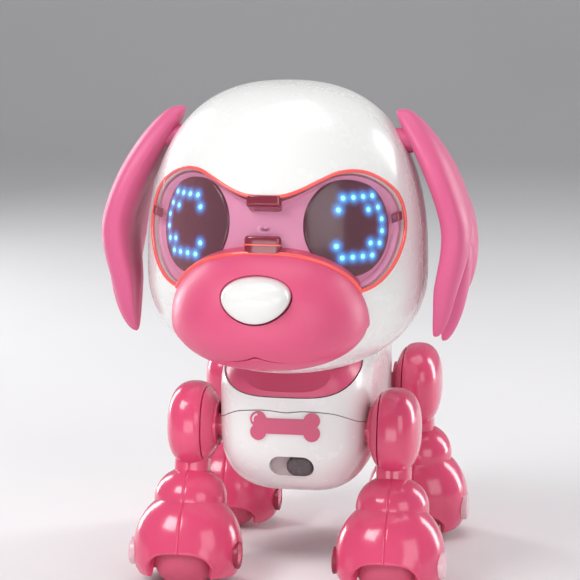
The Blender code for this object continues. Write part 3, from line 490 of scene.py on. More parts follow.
def lamp_light():
    """A lamp's bright face: pale cyan in the middle, set by Layer Weight to blue at its edge."""
    material, tree, shader = new_material("lamp_light")
    facing = tree.nodes.new("ShaderNodeLayerWeight")
    facing.inputs["Blend"].default_value = 0.5
    ramp = tree.nodes.new("ShaderNodeValToRGB")
    ramp.color_ramp.elements[0].color = (0.28, 0.90, 1.0, 1)
    ramp.color_ramp.elements[1].color = (0.02, 0.38, 0.95, 1)
    tree.links.new(facing.outputs["Facing"], ramp.inputs["Fac"])
    tree.links.new(ramp.outputs["Color"], shader.inputs["Emission Color"])
    tree.links.new(ramp.outputs["Color"], shader.inputs["Base Color"])
    shader.inputs["Emission Strength"].default_value = 1.35
    return material


panel_material = smoked_panel()
lamp_material = lamp_light()
for side_name, side in (("right", -1), ("left", 1)):
    lamps = np.array(lamp_places) * LAMP_PITCH
    lamps[:, 0] = (lamps[:, 0] * -side) + side * LAMP_OFFSET
    turn = np.linspace(0, 2 * np.pi, 180, endpoint=False)
    ring = np.concatenate([np.linspace(0, 1, 64) * (EYE_RADIUS - 0.0002), [EYE_RADIUS, EYE_RADIUS]])
    depth = np.concatenate([np.full(64, EYE_DEPTH), [EYE_DEPTH + 0.0002, EYE_DEPTH + 0.0015]])
    across = ring[:, None] * np.cos(turn)
    up = ring[:, None] * np.sin(turn)
    front = np.stack([eye_surface(side, a, u, -d) for a, u, d in zip(across, up, depth)])
    rear = front[-1:].mean(axis=1, keepdims=True) + np.zeros((1, len(turn), 3))
    panel = mesh_of(side_name + "_eye_glass", np.concatenate([front, rear]))
    places = np.empty(len(panel.data.vertices) * 3)
    panel.data.vertices.foreach_get("co", places)
    places = places.reshape(-1, 3)
    centres = eye_surface(side, lamps[:, 0], lamps[:, 1], -EYE_DEPTH)
    apart = np.linalg.norm(places[:, None] - centres[None], axis=-1)
    glow = np.clip(np.exp(-(apart / GLOW_REACH) ** 2 / 1.3).sum(axis=1), 0, 1)
    attribute = panel.data.attributes.new("glow", "FLOAT", "POINT")
    attribute.data.foreach_set("value", glow.astype(np.float32))
    finish(panel, "head", panel_material, [side_name + "_eye_panel"], sharp=50)

    domes = []
    bead_turn = np.linspace(0, 2 * np.pi, 12, endpoint=False)
    for lamp in lamps:
        bead = []
        for r, rise in LAMP_PROFILE:
            bead_x = lamp[0] + r * LAMP_RADIUS * np.cos(bead_turn)
            bead_z = lamp[1] + r * LAMP_RADIUS * np.sin(bead_turn)
            bead.append(eye_surface(side, bead_x, bead_z, -EYE_DEPTH + rise * LAMP_RADIUS))
        domes.append(mesh_of("lamp", np.stack(bead)))
    bm = bmesh.new()
    for dome in domes:
        bm.from_mesh(dome.data)
        bpy.data.objects.remove(dome)
    beads = bpy.data.meshes.new(side_name + "_eye_lamps")
    bm.to_mesh(beads)
    bm.free()
    beads.shade_smooth()
    lamp_piece = bpy.data.objects.new(side_name + "_eye_lamps", beads)
    bpy.context.scene.collection.objects.link(lamp_piece)
    finish(lamp_piece, "head", lamp_material)


# Muzzle, jaw and nose --------------------------------------------------------------------------
# The muzzle is a satin pink moulding that stands out through the window, with a parting line in
# the shape of a flat w above the jaw. The nose is a white push button in an egg-shaped hole.
SNOUT_CENTRE = DOG + (0.0, -0.0545, 0.0725)
SNOUT_RADII = np.array([0.0233, 0.0228, 0.0190])
SNOUT_DROP = 0.0125
SNOUT_POWER = 2.15
SNOUT_WALL = 0.0014
JAW_INSET = 0.00045
NOSE_Z = 0.0798
NOSE_HALF_WIDTH = 0.0078
NOSE_HALF_HEIGHT = 0.0050
NOSE_FRONT = DOG[1] - 0.0793
NOSE_GAP = 0.00028
MOUTH_GAP = 0.00030
MUZZLE_PINK = (0.74, 0.095, 0.215)
mouth_half = [(0, 0.0668), (0.0022, 0.0660), (0.0050, 0.0653), (0.0085, 0.0649)]
mouth_half += [(0.0130, 0.0656), (0.0180, 0.0677), (0.0215, 0.0700), (0.0260, 0.0722)]
mouth_points = [(-x, z) for x, z in reversed(mouth_half[1:])] + mouth_half
mouth_line = smooth_line(mouth_points, 10, closed=False)


def snout_surface(aim, offset=0.0):
    """Where a ray from the muzzle's centre meets |x/a|^n + |y/b|^n + |z/c|^n = 1, grown by offset."""
    radii = np.broadcast_to(SNOUT_RADII + offset, aim.shape).copy()
    radii[..., 2] = np.where(aim[..., 2] > 0, radii[..., 2], SNOUT_DROP + offset)
    size = ((np.abs(aim) / radii) ** SNOUT_POWER).sum(axis=-1) ** (-1 / SNOUT_POWER)
    return SNOUT_CENTRE + aim * size[..., None]


def snout_aim(x, z):
    """Ray to the muzzle's front at a place across and up."""
    up = z - SNOUT_CENTRE[2]
    reach = np.where(up > 0, SNOUT_RADII[2], SNOUT_DROP)
    left = 1 - (np.abs(x) / SNOUT_RADII[0]) ** SNOUT_POWER - (np.abs(up) / reach) ** SNOUT_POWER
    out = SNOUT_RADII[1] * np.maximum(left, 0) ** (1 / SNOUT_POWER)
    return np.stack([x, -out, up], axis=-1)


def nose_outline(steps, margin=0.0):
    """An egg, wider above: (w cos t (1 + 0.16 sin t), h sin t), grown along its radius."""
    turn = np.linspace(0, 2 * np.pi, steps, endpoint=False)
    across = NOSE_HALF_WIDTH * np.cos(turn) * (1 + 0.16 * np.sin(turn))
    up = NOSE_HALF_HEIGHT * np.sin(turn)
    grown = 1 + margin / np.hypot(across, up)
    return across * grown, NOSE_Z + up * grown


def snout_skin(start, end, rows, top=0.0, start_open=True, end_open=True):
    """A wall on the muzzle between two curves of rays, with a rounded lip on each open edge."""
    lip = 0.00022
    length = 0.018
    along, depth = skin_rows(1.0, rows, SNOUT_WALL, lip / length, start_open, end_open)
    depth = np.where(depth < SNOUT_WALL * 0.5, depth * length, depth)
    aims = swing(start[None], end[None], along[:, None, None])
    return np.stack([snout_surface(aim, top - drop) for aim, drop in zip(aims, depth)])


# The muzzle's outer edge: its widest section over the top, then the mouth line back across the front.
section = np.linspace(0, 2 * np.pi, 720, endpoint=False)
section_power = squareness(section, SNOUT_POWER)
section_x = SNOUT_RADII[0] * np.cos(section) * section_power
section_z = np.where(np.sin(section) > 0, SNOUT_RADII[2], SNOUT_DROP) * np.sin(section) * section_power
section_z = SNOUT_CENTRE[2] + section_z
above = section_z > np.interp(section_x, mouth_line[:, 0], mouth_line[:, 1])
inside_mouth = np.abs(mouth_line[:, 0]) < 0.0215
edge_x = np.concatenate([section_x[above], mouth_line[inside_mouth, 0]])
edge_z = np.concatenate([section_z[above], mouth_line[inside_mouth, 1]])
edge_turn = np.arctan2(edge_z - NOSE_Z, edge_x)
order = np.argsort(edge_turn)
hole_x, hole_z = nose_outline(420, NOSE_GAP)
hole_turn = np.arctan2(hole_z - NOSE_Z, hole_x)
outer_x = np.interp(hole_turn, edge_turn[order], edge_x[order], period=2 * np.pi)
outer_z = np.interp(hole_turn, edge_turn[order], edge_z[order], period=2 * np.pi)
snout_start = unit(snout_aim(hole_x, hole_z))
snout_end = unit(snout_aim(outer_x, outer_z))
muzzle_pink = moulded("muzzle_pink_plastic", MUZZLE_PINK, 0.40, blotch=0.05, blotch_scale=35, peel=0.05,
                      bleed=0.10)
snout = mesh_of("muzzle", snout_skin(snout_start, snout_end, 70), ring=True)
finish(snout, "head", muzzle_pink, ["snout_shell"], sharp=50)

jaw_x = np.linspace(-0.0226, 0.0226, 260)
jaw_top = unit(snout_aim(jaw_x, np.interp(jaw_x, mouth_line[:, 0], mouth_line[:, 1]) - MOUTH_GAP))
sweep = np.linspace(-np.pi, 0, 260)
jaw_low = unit(np.stack([
    np.cos(sweep) * SNOUT_RADII[0], np.full(260, 0.0012), np.sin(sweep) * SNOUT_DROP,
], axis=-1))
jaw_grid = snout_skin(jaw_top, jaw_low, 70, top=-JAW_INSET)
# The microphone's hole is a short dimple: points near its axis sink by a steep bell curve.
MICROPHONE = DOG + (0.0, -0.0668, 0.0620)
MICROPHONE_RADIUS = np.array([0.00105, 0.0007])
away = (((jaw_grid[..., 0] - MICROPHONE[0]) / MICROPHONE_RADIUS[0]) ** 2
        + ((jaw_grid[..., 1] - MICROPHONE[1]) / MICROPHONE_RADIUS[1]) ** 2) ** 2
low_face = jaw_grid[..., 2] < SNOUT_CENTRE[2] - 0.006
jaw_grid[..., 2] += 0.0011 * np.exp(-away) * low_face
jaw = mesh_of("jaw", jaw_grid, around=False, ring=True)
finish(jaw, "head", muzzle_pink, ["lower_jaw"], sharp=50)

nose_x, nose_z = nose_outline(160)
snout_y = snout_surface(snout_aim(nose_x, nose_z))[:, 1]
reach = np.concatenate([np.sin(np.linspace(0, np.pi / 2, 34)), [1.0, 1.0]])
bulge = 1 - (1 - reach ** 2.3) ** (1 / 2.3)
nose_rows = []
for index, (part, fall) in enumerate(zip(reach, bulge)):
    x = nose_x * part
    z = NOSE_Z + (nose_z - NOSE_Z) * part
    rim_y = snout_y - 0.0002 + (0.0016 if index >= 35 else 0.0)
    lean = 0.0006 * ((nose_z - NOSE_Z) / NOSE_HALF_HEIGHT * part) ** 2 * (1 - fall)
    y = NOSE_FRONT + (rim_y - NOSE_FRONT) * fall + lean
    nose_rows.append(np.stack([x, y, z], axis=-1))
nose_rows.append(np.repeat(nose_rows[-1].mean(axis=0)[None], 160, axis=0))
nose = mesh_of("nose", np.stack(nose_rows))
nose_white = moulded("nose_white_plastic", (0.84, 0.835, 0.82), 0.22, blotch=0.012, coat=0.4, peel=0.01)
finish(nose, "nose", nose_white, ["nose_button"], sharp=60)

# The window's edge is trapped along the muzzle's top, where it shows as a thin red line with a painted glow.
clock = np.linspace(np.radians(16), np.radians(164), 160)
spoke = np.stack([np.cos(clock), np.sin(clock)], axis=-1)
near, far = np.full(160, 0.004), np.full(160, 0.030)
for _ in range(40):
    middle = (near + far) / 2
    x, z = spoke[:, 0] * middle, SNOUT_CENTRE[2] + spoke[:, 1] * middle
    rise = z - HEAD_CENTRE[2]
    power, reach = head_profile(rise)
    radius = HEAD_RADIUS * (1 - (np.abs(rise) / reach) ** power) ** (1 / power)
    y = HEAD_CENTRE[1] - np.sqrt(np.maximum(radius ** 2 - x ** 2, 0))
    up = z - SNOUT_CENTRE[2]
    size = (np.abs(x) / SNOUT_RADII[0]) ** SNOUT_POWER
    size += (np.abs(y - SNOUT_CENTRE[1]) / SNOUT_RADII[1]) ** SNOUT_POWER
    size += (np.abs(up) / SNOUT_RADII[2]) ** SNOUT_POWER
    near = np.where(size < 1, middle, near)
    far = np.where(size < 1, far, middle)
muzzle_path = np.stack([x, y, z], axis=-1)
muzzle_angle = np.degrees(np.arctan2(x, HEAD_CENTRE[1] - y))
goggle_left_line = goggle_line[: len(goggle_line) // 2]
lower_part = goggle_left_line[goggle_left_line[:, 1] < 0.0930]
lower_part = lower_part[np.argsort(lower_part[:, 0])]
floor_z = np.interp(np.abs(muzzle_angle), lower_part[:, 0], lower_part[:, 1])
inside_window = z > floor_z - 0.0006
muzzle_path = muzzle_path[inside_window]
muzzle_rim = tube("muzzle_edge", muzzle_path, muzzle_path - HEAD_CENTRE, 0.00062, closed=False)
finish(muzzle_rim, "head", rim_red_painted_glow)


# Ears ------------------------------------------------------------------------------------------
# Each ear is a soft-touch pink moulding that hangs from a pin through the rear shell. Its lower
# edge is parted into three overlapping lobes, the rear one standing furthest out.
EAR_OUTSIDE = 0.0454
EAR_WIDEST_Z = 0.0840
EAR_HALF = 0.0040
BOSS_INNER = 0.0215
BOSS_OUTER = 0.0300
EAR_PINK = (0.70, 0.115, 0.265)


def ear_reach(z):
    """How far the ear's middle stands from the centre plane: a bow, steeper above its widest level."""
    bow = np.where(z > EAR_WIDEST_Z, 11.3, 7.5)
    return EAR_OUTSIDE - EAR_HALF - bow * (z - EAR_WIDEST_Z) ** 2


def lobe(name, side, stations, tip, top, inset_low, half_thick, hollow, end_power=(2.6, 3.4)):
    """A tapered leaf: superellipse sections between the front and back edges, closed at both ends.

    At height z the section is |u|^2.7 + |v|^2.7 = 1, scaled by (1 - |w|^n)^(1/n) towards each end, and
    the inner side is hollowed by h (1 - u^2). stations hold height, front edge and back edge.
    """
    stations = smooth_line(stations, 10, closed=False)
    stations = stations[np.argsort(stations[:, 0])]
    part = np.sin(np.linspace(-np.pi / 2, np.pi / 2, 80))
    z = (tip + top) / 2 + part * (top - tip) / 2
    power = np.where(part > 0, end_power[1], end_power[0])
    close = (1 - np.abs(part) ** power) ** (1 / power)
    front = np.interp(z, stations[:, 0], stations[:, 1])
    back = np.interp(z, stations[:, 0], stations[:, 2])
    turn = np.linspace(0, 2 * np.pi, 64, endpoint=False)
    size = squareness(turn, 2.7)
    u = np.cos(turn) * size
    v = np.sin(turn) * size
    y = DOG[1] + ((front + back) / 2)[:, None] + (close * (back - front) / 2)[:, None] * u[None]
    low = np.clip((0.094 - z) / 0.020, 0, 1)
    inset = inset_low * low ** 2 * (3 - 2 * low)
    thick = np.interp(z, [tip, tip + 0.012, top], [half_thick[0], half_thick[1], EAR_HALF])
    ridge = 0.0004 * np.exp(-((u[None] + 0.55) / 0.35) ** 2) * (v[None] > 0) * close[:, None]
    x = (ear_reach(z) + EAR_HALF - inset - thick)[:, None] + (close * thick)[:, None] * v[None] + ridge
    inner = (v[None] < 0) * (1 - u[None] ** 2) * np.clip((0.104 - z) / 0.03, 0, 1)[:, None] * close[:, None]
    x = x + hollow * inner
    z_grid = z[:, None] + np.zeros_like(x)
    return mesh_of(name, np.stack([side * x, y, z_grid], axis=-1))


front_edge = [(0.0600, -0.0400), (0.0660, -0.0418), (0.0720, -0.0432), (0.0800, -0.0438), (0.0880, -0.0440)]
front_edge += [(0.0980, -0.0430), (0.1060, -0.0408), (0.1130, -0.0378), (0.1200, -0.0345)]
front_lobe_back = (-0.0360, -0.0350, -0.0335, -0.0295, -0.0240, -0.0190, -0.0190, -0.0215, -0.0245)
middle_lobe = [(0.0600, -0.0345, -0.0295), (0.0660, -0.0370, -0.0270), (0.0740, -0.0375, -0.0235)]
middle_lobe += [(0.0840, -0.0370, -0.0220), (0.0950, -0.0360, -0.0230)]
back_lobe = [(0.0720, -0.0300, -0.0185), (0.0780, -0.0330, -0.0160), (0.0850, -0.0350, -0.0150)]
back_lobe += [(0.0920, -0.0360, -0.0155), (0.1010, -0.0370, -0.0185), (0.1100, -0.0350, -0.0230)]
ear_pink = moulded("ear_soft_pink", EAR_PINK, 0.46, blotch=0.04, blotch_scale=40, peel=0.06, bleed=0.15)
ear_pink.node_tree.nodes["Principled BSDF"].inputs["Sheen Weight"].default_value = 0.10
ear_pink.node_tree.nodes["Principled BSDF"].inputs["Sheen Roughness"].default_value = 0.40
ear_pink.node_tree.nodes["Principled BSDF"].inputs["Sheen Tint"].default_value = (1.0, 0.75, 0.85, 1)
for side_name, side in (("right", -1), ("left", 1)):
    front_stations = [(*edge, back) for edge, back in zip(front_edge, front_lobe_back)]
    front_part = lobe(side_name + "_ear_front", side, front_stations, 0.0658, 0.1193, 0.0030,
                      (0.0032, 0.0038), 0.0022)
    finish(front_part, side_name + "_ear", ear_pink, [side_name + "_ear"])
    middle_part = lobe(side_name + "_ear_middle", side, middle_lobe, 0.0637, 0.0945, 0.0012,
                       (0.0030, 0.0036), 0.0018, end_power=(2.2, 2.2))
    finish(middle_part, side_name + "_ear", ear_pink)
    back_part = lobe(side_name + "_ear_back", side, back_lobe, 0.0742, 0.1085, -0.0002,
                     (0.0036, 0.0040), 0.0020, end_power=(2.4, 2.2))
    finish(back_part, side_name + "_ear", ear_pink)
    pin_y, pin_z = joints[side_name + "_ear_swing"]["pos_m"][1:]
    turn = np.linspace(0, 2 * np.pi, 40, endpoint=False)
    profile = [(BOSS_INNER, 0.0), (BOSS_INNER, 0.0028), (BOSS_OUTER, 0.0030), (BOSS_OUTER, 0.0)]
    boss_rows = [
        np.stack([np.full(40, side * x), pin_y + r * np.cos(turn), pin_z + r * np.sin(turn)], axis=-1)
        for x, r in profile
    ]
    boss = mesh_of(side_name + "_ear_boss", np.stack(boss_rows))
    finish(boss, side_name + "_ear", ear_pink, sharp=40)


# Body shells -----------------------------------------------------------------------------------
# Two white mouldings, glossier than the collar, that part on a line which dips in the middle and
# drops at both flanks. The upper one is scooped out for the head, the lower one has a flat belly.
BODY_CENTRE = DOG + (0.0, -0.0010, 0.0395)
BODY_HALF = np.array([0.0194, 0.0360, 0.0195])
BODY_PLAN_POWER = 4.0
BODY_TOP_POWER = 6.0
BODY_BELLY_POWER = 2.5
BODY_WALL = 0.0016
BELLY_Z = 0.0215
SCOOP_CENTRE = DOG + (0.0, -0.0380, 0.0688)
SCOOP_HALF = np.array([0.0174, 0.0240, 0.0178])
SCOOP_WALL = 0.0018
SCOOP_GAP = 0.0002
HEAD_SWEEP = 1.18
SCOOP_POWER = 3.6
COLLAR_PINK = (0.66, 0.085, 0.185)
COLLAR_RIM = 0.0009
COLLAR_CENTRE_Y = -0.0500
COLLAR_REACH = 0.0200
COLLAR_DEPTH = 0.0208
BODY_WHITE = (0.82, 0.805, 0.80)


def body_level(part, angle, offset=0.0):
    """A point of the body: part says how far up, from -90 to 90 degrees, and angle how far round.

    p^q + |z/c|^q = 1 with p^n = |x/a|^n + |y/b|^n, q larger above the middle than below it.
    """
    power = np.where(part > 0, BODY_TOP_POWER, BODY_BELLY_POWER)
    size = squareness(part, power)
    plan = squareness(angle, BODY_PLAN_POWER)
    wide = np.cos(part) * size * plan
    half = BODY_HALF + offset
    return BODY_CENTRE + np.stack([
        wide * np.cos(angle) * half[0], wide * np.sin(angle) * half[1], np.sin(part) * size * half[2],
    ], axis=-1)


def body_solid(name, offset=0.0, rows=130, columns=280):
    """The whole body form, with its belly cut flat."""
    part = np.linspace(-np.pi / 2, np.pi / 2, rows)[:, None]
    angle = np.linspace(0, 2 * np.pi, columns, endpoint=False)[None]
    grid = body_level(part + 0 * angle, angle + 0 * part, offset)
    floor = BELLY_Z - min(offset, 0.0)
    grid[..., 2] = np.maximum(grid[..., 2], floor)
    return mesh_of(name, grid)


def ball_solid(name, centre, half, power=2.0, rows=60, columns=120, below=None):
    """A closed form |x/a|^n + |y/b|^n + |z/c|^n = 1, with its own half height below the centre."""
    part = np.linspace(-np.pi / 2, np.pi / 2, rows)[:, None]
    angle = np.linspace(0, 2 * np.pi, columns, endpoint=False)[None]
    up = squareness(part, power)
    plan = squareness(angle, power)
    tall = np.where(np.sin(part) > 0, half[2], half[2] if below is None else below)
    return mesh_of(name, np.stack([
        centre[0] + half[0] * np.cos(part) * up * np.cos(angle) * plan,
        centre[1] + half[1] * np.cos(part) * up * np.sin(angle) * plan,
        centre[2] + tall * np.sin(part) * up + 0 * angle,
    ], axis=-1))


def drawn_solid(name, outline, y_low, y_high, middle=None):
    """An outline in X and Z carried along Y between two depths and closed by a fan at each end."""
    outline = np.asarray(outline, float)
    middle = outline.mean(axis=0) if middle is None else np.array(middle)
    cap = np.repeat(middle[None], len(outline), axis=0)
    layers = zip((cap, outline, outline, cap), (y_low, y_low, y_high, y_high))
    return mesh_of(name, np.stack([
        np.stack([row[:, 0], np.full(len(row), depth), row[:, 1]], axis=-1) for row, depth in layers
    ]))


def carve(piece, operation, *tools):
    """Applies one exact boolean for each tool, then removes the tool."""
    for tool in tools:
        modifier = piece.modifiers.new("carve", "BOOLEAN")
        modifier.operation = operation
        modifier.solver = "EXACT"
        modifier.object = tool
        bpy.context.view_layer.update()
        done = bpy.data.meshes.new_from_object(piece.evaluated_get(bpy.context.evaluated_depsgraph_get()))
        piece.modifiers.clear()
        piece.data = done
        bpy.data.objects.remove(tool)
    return piece


seam_half = [(0.0300, 0.0407), (0.0200, 0.0408), (0.0175, 0.0420), (0.0150, 0.0437), (0.0120, 0.0451)]
seam_half += [(0.0080, 0.0457), (0.0040, 0.0458)]
seam_points = [(-x, z) for x, z in seam_half] + [(0, 0.0454)] + list(reversed(seam_half))
body_seam = smooth_line(seam_points, 8, closed=False)


def above_body_seam(shift):
    """All the space above the body's parting line, moved up by shift."""
    lid = np.array([(0.030, 0.080), (0.0, 0.080), (-0.030, 0.080)])
    outline = np.concatenate([body_seam + (0, shift), lid])
    return drawn_solid("above_seam", outline, DOG[1] - 0.06, DOG[1] + 0.06, (0.0, 0.060))


def head_room(grow):
    """The space the head sweeps as it turns on the neck."""
    part = np.linspace(-np.pi / 2, np.pi / 2, 60)[:, None]
    angle = np.linspace(0, 2 * np.pi, 120, endpoint=False)[None]
    level = np.cos(part)
    aim = np.stack([level * np.cos(angle), level * np.sin(angle), np.sin(part) + 0 * angle], axis=-1)
    grid = head_surface(aim, grow)
    grid[..., :2] = HEAD_CENTRE[:2] + (grid[..., :2] - HEAD_CENTRE[:2]) * HEAD_SWEEP
    return mesh_of("head_room", grid)


body_white = moulded("body_white_plastic", BODY_WHITE, 0.25, blotch=0.014, peel=0.012, coat=0.3, bleed=0.04)
body_top = carve(body_solid("body_upper"), "DIFFERENCE", body_solid("inside", -BODY_WALL))
body_low = carve(body_solid("body_lower"), "DIFFERENCE", body_solid("inside", -BODY_WALL))
carve(body_top, "INTERSECT", above_body_seam(0.00012))
scoop = ball_solid("scoop", SCOOP_CENTRE, SCOOP_HALF + SCOOP_WALL + SCOOP_GAP, SCOOP_POWER)
carve(body_top, "DIFFERENCE", scoop, head_room(0.0006))
finish(body_top, "body", body_white, ["body_top_shell"], sharp=35)
carve(body_low, "DIFFERENCE", above_body_seam(-0.00012))


def ring_arc(centre, radius, start, end, steps):
    """Points along an arc in X and Z, from one angle to another in degrees."""
    turn = np.radians(np.linspace(start, end, steps))
    return np.stack([centre[0] + radius * np.cos(turn), centre[1] + radius * np.sin(turn)], axis=-1)


# Power switch: a dark grey thumb knob in a round-ended slot, at the end of its travel, over a pale plate.
SLOT_X = 0.0013
SLOT_Z = 0.0315
SLOT_LENGTH = 0.0111
SLOT_HEIGHT = 0.0055
KNOB_TRAVEL = 0.0040
KNOB_FACE = -0.0352
KNOB_GREY = (0.085, 0.060, 0.066)
PLATE_FACE = -0.0330
PLATE_BACK = -0.0324


def stadium(centre_x, centre_z, length, height, steps=24):
    """A slot's outline: two half circles joined by straight sides."""
    end = (length - height) / 2
    right = ring_arc((centre_x + end, centre_z), height / 2, -90, 90, steps)
    left = ring_arc((centre_x - end, centre_z), height / 2, 90, 270, steps)
    return np.concatenate([right, left])


carve(body_low, "DIFFERENCE", drawn_solid("slot", stadium(SLOT_X, SLOT_Z, SLOT_LENGTH, SLOT_HEIGHT),
                                         DOG[1] - 0.06, DOG[1] - 0.02))
finish(body_low, "body", body_white, ["body_bottom_shell"], sharp=35)

knob_length = SLOT_LENGTH - KNOB_TRAVEL - 0.0004
knob_x = SLOT_X + KNOB_TRAVEL / 2
knob_edge = stadium(knob_x, SLOT_Z, knob_length, SLOT_HEIGHT - 0.0005)
knob_rows = []
knob_shares = (0, 0.25, 0.5, 0.7, 0.85, 0.95, 1.0, 1.0)
knob_drops = (0, 0, 0, 0, 0.0001, 0.0003, 0.0007, 0.0060)
for part, drop in zip(knob_shares, knob_drops):
    ring = np.array([knob_x, SLOT_Z]) + (knob_edge - (knob_x, SLOT_Z)) * part
    ribs = 0.00016 * np.cos((ring[:, 0] - knob_x) / 0.0011 * 2 * np.pi) * (part < 0.9)
    knob_rows.append(np.stack([ring[:, 0], DOG[1] + KNOB_FACE + drop + ribs, ring[:, 1]], axis=-1))
knob_rows.append(np.repeat(knob_rows[-1].mean(axis=0)[None], len(knob_edge), axis=0))
knob = mesh_of("power_thumb_knob", np.stack(knob_rows))
knob_grey = moulded("knob_grey_plastic", KNOB_GREY, 0.38, blotch=0.20, blotch_scale=400, peel=0.10)
finish(knob, "power_knob", knob_grey, ["power_knob"], sharp=45)

plate_edge = stadium(SLOT_X, SLOT_Z, SLOT_LENGTH + 0.0012, SLOT_HEIGHT + 0.0012)
plate_rows = []
for part, depth in ((0, PLATE_FACE), (0.5, PLATE_FACE), (1, PLATE_FACE), (1, PLATE_BACK), (0, PLATE_BACK)):
    ring = np.array([SLOT_X, SLOT_Z]) + (plate_edge - (SLOT_X, SLOT_Z)) * part
    plate_rows.append(np.stack([ring[:, 0], np.full(len(ring), DOG[1] + depth), ring[:, 1]], axis=-1))
plate = mesh_of("switch_plate", np.stack(plate_rows))
plate_grey = moulded("switch_plate_plastic", (0.50, 0.38, 0.40), 0.35, blotch=0.05)
finish(plate, "body", plate_grey, sharp=40)

# Collar: the pink moulding pressed into the upper shell, a thin rim round a hollow that rises steeply
# to the head.
collar_pink = moulded("collar_pink_plastic", COLLAR_PINK, 0.36, blotch=0.05, blotch_scale=35, peel=0.04)
collar = ball_solid("neck_bowl", SCOOP_CENTRE, SCOOP_HALF + SCOOP_WALL, SCOOP_POWER)
hollow_half = np.array([(SCOOP_HALF[0] + SCOOP_WALL - COLLAR_RIM) * 1.06, COLLAR_REACH, COLLAR_DEPTH])
hollow_centre = SCOOP_CENTRE * (1, 0, 1) + (0, DOG[1] + COLLAR_CENTRE_Y, 0)
carve(collar, "DIFFERENCE", ball_solid("hollow", hollow_centre, hollow_half, 3.0))
carve(collar, "INTERSECT", body_solid("body", -0.0003))
carve(collar, "DIFFERENCE", head_room(0.0006))
finish(collar, "body", collar_pink, ["neck_cradle"], sharp=35)

# Bone badge: a flat pink bone pressed into the chest, with a soft edge and a white crescent on one knob, a
# painted highlight.
BADGE_Z = 0.0420
BADGE_LENGTH = 0.0173
BADGE_KNOB = 0.0020
BADGE_BAR_HALF = 0.0019
badge_end = BADGE_LENGTH / 2 - BADGE_KNOB
badge_lift = BADGE_KNOB * 0.80
badge_meet = math.degrees(math.asin(0.80))
badge_waist = 180 - math.degrees(math.asin((BADGE_BAR_HALF - badge_lift) / BADGE_KNOB))
badge_right = np.concatenate([
    ring_arc((badge_end, BADGE_Z - badge_lift), BADGE_KNOB, -badge_waist, badge_meet, 22),
    ring_arc((badge_end, BADGE_Z + badge_lift), BADGE_KNOB, -badge_meet, badge_waist, 22)[1:],
])
badge_left = badge_right * (-1, -1) + (0, 2 * BADGE_Z)
badge_outline = np.concatenate([badge_right, badge_left])
badge = drawn_solid("chest_bone", badge_outline, DOG[1] - 0.06, DOG[1] - 0.034)
carve(badge, "INTERSECT", body_solid("front", 0.0005))
carve(badge, "DIFFERENCE", body_solid("rear", -0.0012))
soften = badge.modifiers.new("soft_edge", "BEVEL")
soften.width = 0.00022
soften.segments = 3
soften.limit_method = "ANGLE"
soften.angle_limit = math.radians(50)
badge_pink = moulded("badge_pink_plastic", (0.62, 0.095, 0.195), 0.34, blotch=0.04, peel=0.03)
finish(badge, "body", badge_pink, ["bone_badge"], sharp=40)
# The pale crescent on the upper left knob is a painted highlight, built as a thin proud piece.
painted_highlight_centre = (-badge_end, BADGE_Z + badge_lift)
painted_highlight_outline = np.concatenate([
    ring_arc(painted_highlight_centre, 0.00150, 95, 205, 16), ring_arc(painted_highlight_centre, 0.00105, 205, 95, 16),
])
painted_highlight = carve(drawn_solid("badge_glint", painted_highlight_outline, DOG[1] - 0.06, DOG[1] - 0.034), "INTERSECT",
              body_solid("front", 0.00062))
carve(painted_highlight, "DIFFERENCE", body_solid("rear", 0.0001))
finish(painted_highlight, "body", moulded("glint_white_ink", (0.80, 0.62, 0.68), 0.40, blotch=0.03), sharp=40)

# Tail: a stub moulded with the rump plug.
TAIL_BASE = DOG + (0, 0.0370, 0.0490)
TAIL_HALF = (0.0034, 0.0034, 0.0075)
TAIL_BEND = 18.0
tail_turn = math.radians(-22)
tail = ball_solid("tail_stub", (0, 0, 0), TAIL_HALF, 2.2)
tail_points = np.empty(len(tail.data.vertices) * 3)
tail.data.vertices.foreach_get("co", tail_points)
tail_points = tail_points.reshape(-1, 3)
tail_points[:, 1] += TAIL_BEND * tail_points[:, 2] ** 2
turned = np.stack([
    tail_points[:, 0],
    tail_points[:, 1] * math.cos(tail_turn) - tail_points[:, 2] * math.sin(tail_turn),
    tail_points[:, 1] * math.sin(tail_turn) + tail_points[:, 2] * math.cos(tail_turn),
], axis=-1) + TAIL_BASE
tail.data.vertices.foreach_set("co", turned.ravel())
tail_pink = moulded("tail_pink_plastic", (0.74, 0.075, 0.20), 0.28, blotch=0.05, coat=0.3)
finish(tail, "body", tail_pink, ["tail"])


# Legs ------------------------------------------------------------------------------------------
# Four alike, in glossy pink: a lozenge thigh in two halves on a hip hub, a narrow tongue on the
# knee's pin, and an ankle ball and paw cover moulded in two halves that meet on a middle seam. A
# matt barrel roller turns in the paw, and a pale cap covers its axle on the outer side.
LEG_TILT = 8.0
LEG_X = 0.0255
LEG_PINK = (0.76, 0.075, 0.185)
ROLLER_PINK = (0.62, 0.090, 0.170)
THIGH_HALF = np.array([0.0063, 0.0110, 0.0106])
THIGH_SPLIT = -0.0034
BALL = np.array([0.0, -0.0025, -0.0189])
PAW = np.array([0.0, -0.0045, -0.0320])
PAW_HALF = np.array([0.0137, 0.0124, 0.0155])
PAW_SKIRT = 0.0052
ROLLER = np.array([0.0, -0.0070, -0.0320])
ROLLER_RADIUS = 0.0082
ROLLER_HALF = 0.0078
ARCH_HALF = 0.0090
ARCH_RISE = 0.0010
GROOVE = 0.00026
PAW_HEM = ((0.0002, -0.00018), (0.0006, -0.00028), (0.0011, -0.00018))
PAW_HEM += ((0.0014, 0.0002), (0.0016, 0.0012), (0.0018, 0.0030))
TONGUE = (0.0, -0.0010, -0.0115)
TONGUE_HALF = np.array([0.0043, 0.0050, 0.0085])
BALL_HALF = np.array([0.0091, 0.0093, 0.0080])
CAP_PALE = (0.78, 0.52, 0.58)
RECESS_SHADE_PINK = (0.30, 0.018, 0.050)


